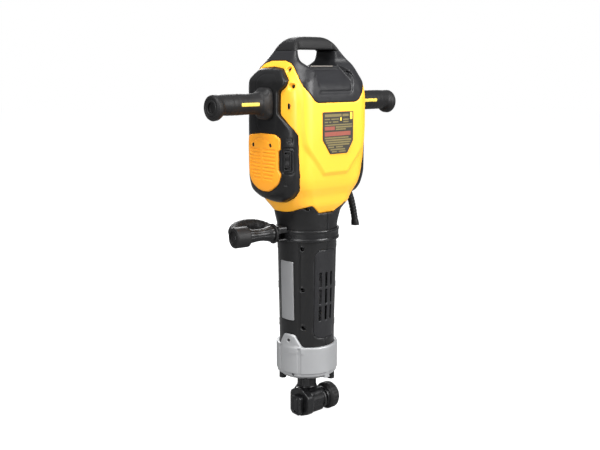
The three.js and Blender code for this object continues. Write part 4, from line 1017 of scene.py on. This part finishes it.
def ring_f(x, y, z):
    rho = ln(x, y)
    prof = poly(rounded([(61, 112, 2), (61, 163, 1), (67, 163, 2.5), (68, 160, 2), (68, 104, 1.2), (66.2, 102.6, 0.5), (66, 97.5, 1.5), (57, 90.3, 2), (34.8, 90.3, 1.5), (34.8, 112, 1.5)], 4))
    d = prof(rho, z)
    for deg in (191, 11):
        c, s = math.cos(math.radians(deg)), math.sin(math.radians(deg))
        u, v = x * c + y * s, -x * s + y * c
        ear = smax(EAR(v, z), np.maximum(rho - 67.2, 60.9 - rho), 2.0)
        ear = np.maximum(ear, -u)
        d = smin(d, ear, 4.0)
        # raised pad below the ear with soft flutes at its sides
        for off in (-25, 25):
            g = np.maximum(np.maximum(np.abs(v - off) - 2.6, 30 - u), np.maximum(100 - z, z - 160))
            d = smax(d, -np.maximum(g, -(rho - 68 + 1.3)), 3.0)
        hole = np.maximum(ln(v, z - 177) - 3.6, 30 - u)
        d = smax(d, -hole, 1.2)
    # lug on the front of the lower bevel, drain hole beside it
    for sgn in (-1, 1):
        lug = smax(np.maximum(np.abs(x) - 6.5 + (94 - z) * -0.25, slab(z, 90.6, 104)), np.maximum(rho - 67.6, 54 - rho), 1.5)
        d = smin(d, np.maximum(lug, -sgn * y), 2.0)
    for i in range(4):
        a = math.radians(45 + 90 * i)
        d = smax(d, -np.maximum(ln(x - 54 * math.cos(a), y - 54 * math.sin(a)) - 4.3, z - 106), 0.8)
    for deg in (200, 20):
        c, s = math.cos(math.radians(deg)), math.sin(math.radians(deg))
        d = smax(d, -np.maximum(ln(-x * s + y * c, z - 100.5) - 3.3, 40 - (x * c + y * s)), 0.8)
    return d


piece("front_casting", [mesh_of(ring_f, (-69, -69, 90), (69, 69, 196), 1.3) + (MAT["cast_alloy"],)], "root", ["front_housing"])


def cap_bolt(x, y, z):
    d = smax(ln(x, y) - 8, slab(z, 73.8, 89.6), 1.2)
    kn = 0.25 * np.cos(24 * np.arctan2(y, x))
    d = np.where(z > 76.5, np.maximum(d, smax(ln(x, y) - 7.85 - kn, slab(z, 73.8, 89.6), 1.0)), d)
    hexa = np.maximum(np.maximum(np.abs(x), np.abs(x * 0.5 + y * 0.866)), np.abs(x * 0.5 - y * 0.866)) - 3.6
    d = smax(d, -np.maximum(hexa, z - 80), 0.4)
    return smin(d, smax(ln(x, y) - 3.9, slab(z, 88, 104.8), 0.6), 0.4)


bolt_mesh = mesh_of(cap_bolt, (-8, -8, 73.5), (8, 8, 105), 0.62)
for i in range(4):
    a = math.radians(45 + 90 * i)
    piece(f"front_bolt_detail_{i + 1}", [(bolt_mesh[0] + np.array([54 * math.cos(a), 54 * math.sin(a), 0], F), bolt_mesh[1], MAT["dark_steel"])], "root", [f"front_bolt_{i + 1}"])

# ------------------------------------------------------------------ tool holder and retainer
LY, LZ = -26.0, 30.0
FLANGE = poly(rounded([(5, 4, 8), (5, 54, 12), (-10, 63, 10), (-32, 64.5, 8), (-55, 51, 10), (-57.5, 30, 8), (-55, 12, 10), (-32, 3, 10), (-14, 1.2, 6)]))
HEXR = 15.0


def holder(x, y, z):
    rho = ln(x, y)
    prof = poly(rounded([(0, 0.6, 0), (24.5, 0.6, 2), (26.5, 3, 2), (26.5, 51, 3), (22.3, 57, 2), (21.2, 62, 2), (21.2, 76, 1.5), (24, 78, 1), (24, 83, 1), (38, 84.8, 1), (38, 89.4, 0.6), (34, 89.4, 0.4), (34, 115.6, 1), (0, 115.6, 0)], 4))
    d = prof(rho, z)
    saddle = smax(rrect(y + 12, z - 29.5, 31, 26, 12), slab(x, -24, 13), 2.5)
    drum = smax(ln(y - LY, z - LZ) - 20.5, slab(x, -38, 14), 1.5)
    d = smin(smin(d, saddle, 3.0), drum, 2.0)
    fl = smax(FLANGE(y, z), slab(x, -45.8, -30.5), 1.8)
    d = smin(d, fl, 2.0)
    for x0, x1, r in ((-27, -21, 22.2), (11.5, 16.8, 24)):
        d = smin(d, smax(ln(y - LY, z - LZ) - r, slab(x, x0, x1), 1.2), 0.8)
    d = smax(d, -np.maximum(ln(y - LY, z - LZ) - 32, slab(x, 17.2, 60)), 1.0)
    hexa = np.maximum(np.maximum(np.abs(y), np.abs(y * 0.5 + x * 0.866)), np.abs(y * 0.5 - x * 0.866)) - HEXR
    d = smax(d, -np.maximum(hexa, z - 106), 0.8)
    d = smax(d, -np.maximum(rho - 17.6, 105 - z), 0.8)
    d = smax(d, -np.maximum(ln(y - LY, z - LZ) - 10.4, slab(x, -60, 30)), 0.6)
    # bell mouth
    d = smax(d, -(hexa - 2.2 + z * 0.9), 0.8)
    return d


piece("tool_holder_forging", [mesh_of(holder, (-46, -58, 0), (38, 39, 117), 1.0) + (MAT["dark_steel"],)], "root", ["tool_holder"])

LEVER = poly(rounded([(-11, 8, 6), (-11, 50, 8), (-41, 50, 8), (-41, 14, 6), (-34, 6.4, 5)]))


def latch_bolt(x, y, z):
    d = smax(ln(y - LY, z - LZ) - 9.8, slab(x, -53, 44), 0.8)
    plate = smax(LEVER(y, z), slab(x, -56.8, -46.6), 2.0)
    rib = smax(rrect(y - LY, z - LZ, 4.2, 15, 3), slab(x, -57, -50), 1.2)
    d = smin(d, plate, 0.8)
    d = smax(d, -np.maximum(rrect(y - LY - 0, z - 30, 11, 17, 5), x + 55.2), 1.0)
    d = smin(d, rib, 1.2)
    d = smax(d, -np.maximum(ln(y + 20, z - 13.5) - 2.4, x + 50), 0.5)
    return d


piece("retainer_cross_bolt", [mesh_of(latch_bolt, (-57, -42, 6), (44, -10, 51), 0.85) + (MAT["dark_steel"],)], "retainer", ["retainer_bolt"])


def ribs(x, y, z, base, depth, n):
    a = np.arctan2(z - LZ, y - LY)
    return base - depth * np.maximum(np.cos(n * a), 0.0) ** 2


def knob(x, y, z):
    rho = ln(y - LY, z - LZ)
    r = np.interp(x, [26.9, 29, 31.5, 33, 45, 48, 55], [25, 27.4, 29.6, 30, 30, 29.4, 23.5]).astype(F)
    groove = np.where((x > 34) & (x < 46), 0.9 * np.maximum(np.cos(18 * np.arctan2(z - LZ, y - LY)), 0), 0)
    d = smax(rho - (r - groove), slab(x, 27.0, 54.9), 2.2)
    d = smax(d, -np.maximum(rho - 18.5, 53.0 - x), 1.0)
    d = smax(d, -np.maximum(np.abs(rho - 26.0) - 0.8, 50.0 - x), 0.8)
    d = smax(d, -np.maximum(rho - 10.1, x - 44.4), 0.6)
    return d


piece("retainer_knob_moulding", [mesh_of(knob, (26.9, -57, -1), (55, 5, 61), 0.95) + (MAT["grip_rubber"],)], "retainer", ["retainer_knob"])
P_, T_ = lathe(soften([(10.2, 21.7), (21.4, 21.7), (22.0, 22.4), (22.6, 24.4), (21.4, 24.6), (21.4, 25.2), (23.3, 25.4), (23.3, 26.5), (10.2, 26.5)], 0.4), (0, LY, LZ), "x", 72)
piece("retainer_collar_ring", [(P_, T_, MAT["dark_steel"])], "retainer_slide", ["retainer_collar"])

# ------------------------------------------------------------------ T handle grips
gr = pchip([114, 137, 150, 165, 190, 215, 232, 240], [23.0, 22.4, 21.6, 21.0, 21.5, 21.4, 20.6, 20.2])
HZ = 690.0


def grip_solid(x, y, z):
    ax = np.abs(x)
    zz = z - HZ
    r = gr(ax)
    d = ln(y, zz) - r
    # rubber bands along the hand zone
    band = 0.35 * np.maximum(np.cos((ax - 150) * 2 * math.pi / 12.0), 0) * step(ax, 158, 164) * (1 - step(ax, 226, 232))
    d = d + band * (np.abs(zz) < 40)
    d = smax(d, slab(ax, 118, 243), 1.5)
    k = step(137 - ax, 0, 16)
    hy, hz = 22.0 + 1.6 * k, 22.0 + 10.5 * k
    root = smax(rrect(y, zz, hy, hz, 14 + 0 * k) , slab(ax, 115.2, 137), 2.0)
    d = smin(d, root, 6.0)
    rk = np.interp(ax, [232, 238, 243, 251, 256], [17.5, 22.0, 25.0, 25.9, 23.6]).astype(F)
    kn = smax(ln(y, zz + 5) - rk, slab(ax, 234, 255.8), 2.6)
    d = smin(d, kn, 3.0)
    d = smax(d, -np.maximum(ln(y, zz + 5) - 11, 249.6 - ax), 1.5)
    d = smax(d, -np.maximum(np.abs(ln(y, zz + 5) - 17.5) - 0.8, 254.3 - ax), 0.8)
    return d


def grip(side):
    def f(x, y, z):
        d = grip_solid(x, y, z)
        d = smax(d, -np.maximum(ln(y, z - HZ) - 13.9, np.abs(x) - 246.3), 0.8)
        return np.maximum(d, -side * x)
    return f


for side, word in ((-1, "left"), (1, "right")):
    lo, hi = ((-256, -27, 656), (-114, 27, 724)) if side < 0 else ((114, -27, 656), (256, 27, 724))
    piece(word + "_hand_grip", [mesh_of(grip(side), lo, hi, 1.2) + (MAT["grip_rubber"],)], "t_handle", [word + "_grip"])
    s = side

    def mark(x, y, z, s=s):
        g = grip_solid(x, y, z)
        bar = rrect(x - s * 172, z - 690, 23, 3.6, 2.6)
        return np.maximum(smax(bar, np.abs(g + 0.1) - 0.75, 0.6), y + 5)

    lo, hi = ((-198, -24, 682), (-146, -18, 698)) if side < 0 else ((146, -24, 682), (198, -18, 698))
    piece(word + "_grip_mark", [mesh_of(mark, lo, hi, 0.6) + (EXTRA["mark_yellow"],)], "t_handle")

# ------------------------------------------------------------------ power switch
def in_switch(mesh, inverse=False):
    P, Q = mesh
    x, y = P[:, 0] * swc - P[:, 1] * sws - 104, P[:, 0] * sws + P[:, 1] * swc - 59
    return np.stack([x, y, P[:, 2] + 575.5], 1).astype(F), Q


def bezel(x, y, z):
    d = smax(rrect(y, z, 8.0, 20.5, 2.2), slab(x, -9, -0.2), 1.0)
    d = smax(d, -np.maximum(rrect(y, z, 5.5, 17.5, 1.2), x + 1.6), 0.6)
    return d


def rocker(x, y, z):
    top = pchip([-14.5, -8, 0, 8, 14.5], [-8.7, -9.3, -7.6, -9.3, -8.7])(z)
    d = smax(rrect(y, z, 5.0, 14.3, 1.0), np.maximum(top - x, x + 3.6 + np.abs(z) * 0.06), 0.8)
    for zc in (-9, 9):
        d = smax(d, -np.maximum(np.abs(rrect(y, z - zc, 2.4, 2.4, 2.3)) - 0.45, x - top - 0.5), 0.3)
    return d


piece("switch_frame", [in_switch(mesh_of(bezel, (-9, -8, -20.5), (0, 8, 20.5), 0.55)) + (MAT["black_plastic"],)], "root", ["switch_bezel"])
piece("switch_rocker", [in_switch(mesh_of(rocker, (-10, -5, -15), (-3, 5, 15), 0.5)) + (MAT["grip_rubber"],)], "power_switch", ["power_rocker"])

# ------------------------------------------------------------------ cord guard
GP = curve([(103, -20, 503), (108, -20, 488), (116, -20, 470), (123, -20, 447), (128, -20, 425), (130, -20, 411.5)], 5)


def guard(x, y, z):
    n = len(GP)
    out = tube(GP, [7.9 - 0.5 * i / n for i in range(n)])(x, y, z)
    s = (z - 411) / 1.0
    seg = 0.8 * np.maximum(np.cos(s * 2 * math.pi / 7.5), 0) ** 2 * step(z, 424, 428) * (1 - step(z, 478, 484))
    out = out + seg
    lip = tube([(129.0, -20, 418), (130.1, -20, 411.5)], [8.6, 9.3])(x, y, z)
    out = smin(out, lip, 2.0)
    out = smax(out, 410.5 - z, 1.2)
    out = smax(out, z - 505, 1.0)
    bore = tube(GP + [(131.5, -20, 400)], [5.4] * (n + 1))(x, y, z)
    return smax(out, -bore, 0.8)


piece("cord_guard_sleeve", [mesh_of(guard, (95, -30, 410), (140, -10, 506), 0.85) + (MAT["grip_rubber"],)], "root", ["cord_guard"])

# ------------------------------------------------------------------ side handle (built along -X, then turned)
SZ, BZ, TURN = 413.0, 409.0, -8.0


def clamp_band(x, y, z):
    rho = ln(x, y)
    d = smax(np.maximum(rho - 70.1, 66.2 - rho), slab(z, BZ - 11.9, BZ + 11.9), 1.2)
    blk = smax(rrect(y, z - SZ, 21, 17, 5), np.maximum(slab(x, -86, -40), 68.6 - rho), 1.2)
    d = smin(d, blk, 1.5)
    d = smax(d, -np.maximum(ln(y, z - SZ) - 6, x), 0.6)
    edge = np.maximum(np.abs(z - BZ) - 6.5, 69.2 - rho)
    d = smax(d, -np.maximum(edge, x * 0.2 - 60), 1.0)
    return d


piece("clamp_band_forging", [mesh_of(clamp_band, (-86, -71, 396), (71, 71, 431), 1.1) + (MAT["dark_steel"],)], "side_handle", ["clamp_band"], turn=TURN)
DP = curve([(-78, 31, SZ + 2), (-84, 47, SZ + 7), (-98, 60, SZ + 11), (-122, 63, SZ + 12), (-146, 54, SZ + 10), (-163, 36, SZ + 6), (-169, 16, SZ + 2), (-169, 5, SZ)], 4)


def d_loop(x, y, z):
    n = len(DP)
    d = tube(DP, [13.0] * n)(x, y, z)
    end = smax(ln(y, z - SZ) - 21.8, slab(x, -186, -152), 4.0)
    d = smin(d, end, 5.0)
    fl = smax(ln(y, z - SZ) - 21.5, slab(x, -91, -86.4), 1.2)
    arm = tube([(-88.5, 12, SZ + 1), (-83, 36, SZ + 3)], [9, 12])(x, y, z)
    arm = smax(arm, x + 76, 1.5)
    d = smin(d, smin(fl, np.maximum(arm, x + 76.5), 3.0), 2.0)
    # grip rings along the bar
    ang = np.arctan2(y - 10, -(x + 112))
    ringv = 0.55 * np.maximum(np.cos(ang * 30), 0) ** 2 * (y > 30)
    d = d + ringv
    d = smax(d, -np.maximum(ln(y, z - SZ) - 6, slab(x, -182, -60)), 0.8)
    d = smax(d, -np.maximum(ln(y, z - SZ) - 15.5, x + 181.6), 1.2)
    d = smax(d, -np.maximum(slab(x, -86.2, -50), np.maximum(np.abs(y) - 21.5, np.abs(z - SZ) - 40)), 0.8)
    return d


piece("side_handle_grip", [mesh_of(d_loop, (-187, -23, 388), (-62, 78, 440), 1.25) + (MAT["grip_rubber"],)], "side_handle", ["side_handle_loop"], turn=TURN)


def nut(x, y, z):
    rho = ln(y, z - SZ)
    r = np.interp(-x, [91.4, 97, 104, 113, 122, 132, 142, 151.6], [17.3, 17.0, 14.8, 13.2, 12.7, 13.4, 14.8, 15.4]).astype(F)
    lobes = 1.1 * np.maximum(np.cos(10 * np.arctan2(z - SZ, y)), 0) * (1 - step(-x, 99, 102) * 0)
    d = smax(rho - r + lobes * 0.7, slab(x, -151.4, -91.6), 1.5)
    return smax(d, -(rho - 6), 0.6)


piece("clamp_nut_moulding", [mesh_of(nut, (-152, -18, 395), (-91, 18, 431), 0.85) + (MAT["black_plastic"],)], "side_handle_nut", ["clamp_nut"], turn=TURN)
P_, T_ = lathe(soften([(0, -179.4), (4.6, -179.4), (5.4, -178.4), (5.4, -70.8), (4.8, -70.1), (0, -70.1)], 0.3), (0, 0, SZ), "x", 36)
piece("clamp_bolt_rod", [(P_, T_, MAT["steel"])], "side_handle", ["clamp_bolt"], turn=TURN)
head = screw_head(9.0, 5.0, 4.2)
piece("clamp_bolt_end", [placed(head, (-181.0, 0, SZ), (-1, 0, 0)) + (MAT["dark_steel"],)], "side_handle", turn=TURN)

# ------------------------------------------------------------------ suspension springs of the handle bar
def coil(cx, r, wire, z0, z1, per=30, m=12):
    """round-wire spring with closed end turns, flat ends closed by caps"""
    k = np.arange(5 * per + 1)
    a = 2 * np.pi * k / per
    zc = np.interp(k / per, [0, 1, 1.35, 3.65, 4, 5], [z0, z0 + 4.4, z0 + 7.2, z1 - 7.2, z1 - 4.4, z1])
    c = np.stack([cx + r * np.cos(a), r * np.sin(a), zc], 1)
    t = np.gradient(c, axis=0)
    t /= np.linalg.norm(t, axis=1, keepdims=True)
    out = np.stack([np.cos(a), np.sin(a), np.zeros_like(a)], 1)
    up = np.cross(t, out)
    up /= np.linalg.norm(up, axis=1, keepdims=True)
    out = np.cross(up, t)
    b = 2 * np.pi * np.arange(m) / m
    P = c[:, None, :] + wire * (np.cos(b)[None, :, None] * out[:, None, :] + np.sin(b)[None, :, None] * up[:, None, :])
    n = len(k)
    i0 = (np.arange(n - 1)[:, None] * m + np.arange(m)[None, :]).ravel()
    i1 = (np.arange(n - 1)[:, None] * m + (np.arange(m)[None, :] + 1) % m).ravel()
    T = [np.stack([i0, i1, i1 + m], 1), np.stack([i0, i1 + m, i0 + m], 1)]
    q = np.arange(m)
    nxt = (q + 1) % m
    T += [np.stack([np.full(m, n * m), nxt, q], 1), np.stack([np.full(m, n * m + 1), q + (n - 1) * m, nxt + (n - 1) * m], 1)]
    T = np.concatenate(T)
    V = np.concatenate([P.reshape(-1, 3), c[:1], c[-1:]]).astype(F)
    A, B, C = V[T[:, 0]], V[T[:, 1]], V[T[:, 2]]
    if float(np.einsum("ij,ij->i", A - V.mean(0), np.cross(B - V.mean(0), C - V.mean(0))).sum()) < 0:
        T = T[:, ::-1]
    return V, T


for sx, word in ((-1, "left"), (1, "right")):
    spring = piece(word + "_float_coil", [coil(62 * sx, 9.6, 1.8, 630.4, 669.6) + (MAT["steel"],)], None, ["float_spring_" + word])
    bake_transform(spring)

# ------------------------------------------------------------------ finishes of the CAD nodes that stay
slots = {s["node"]: s["material_slot"] for s in frame["record"]["subparts"]}
for name, o in frame["nodes"].items():
    o.data.materials.clear()
    o.data.materials.append(MAT[slots[name]])
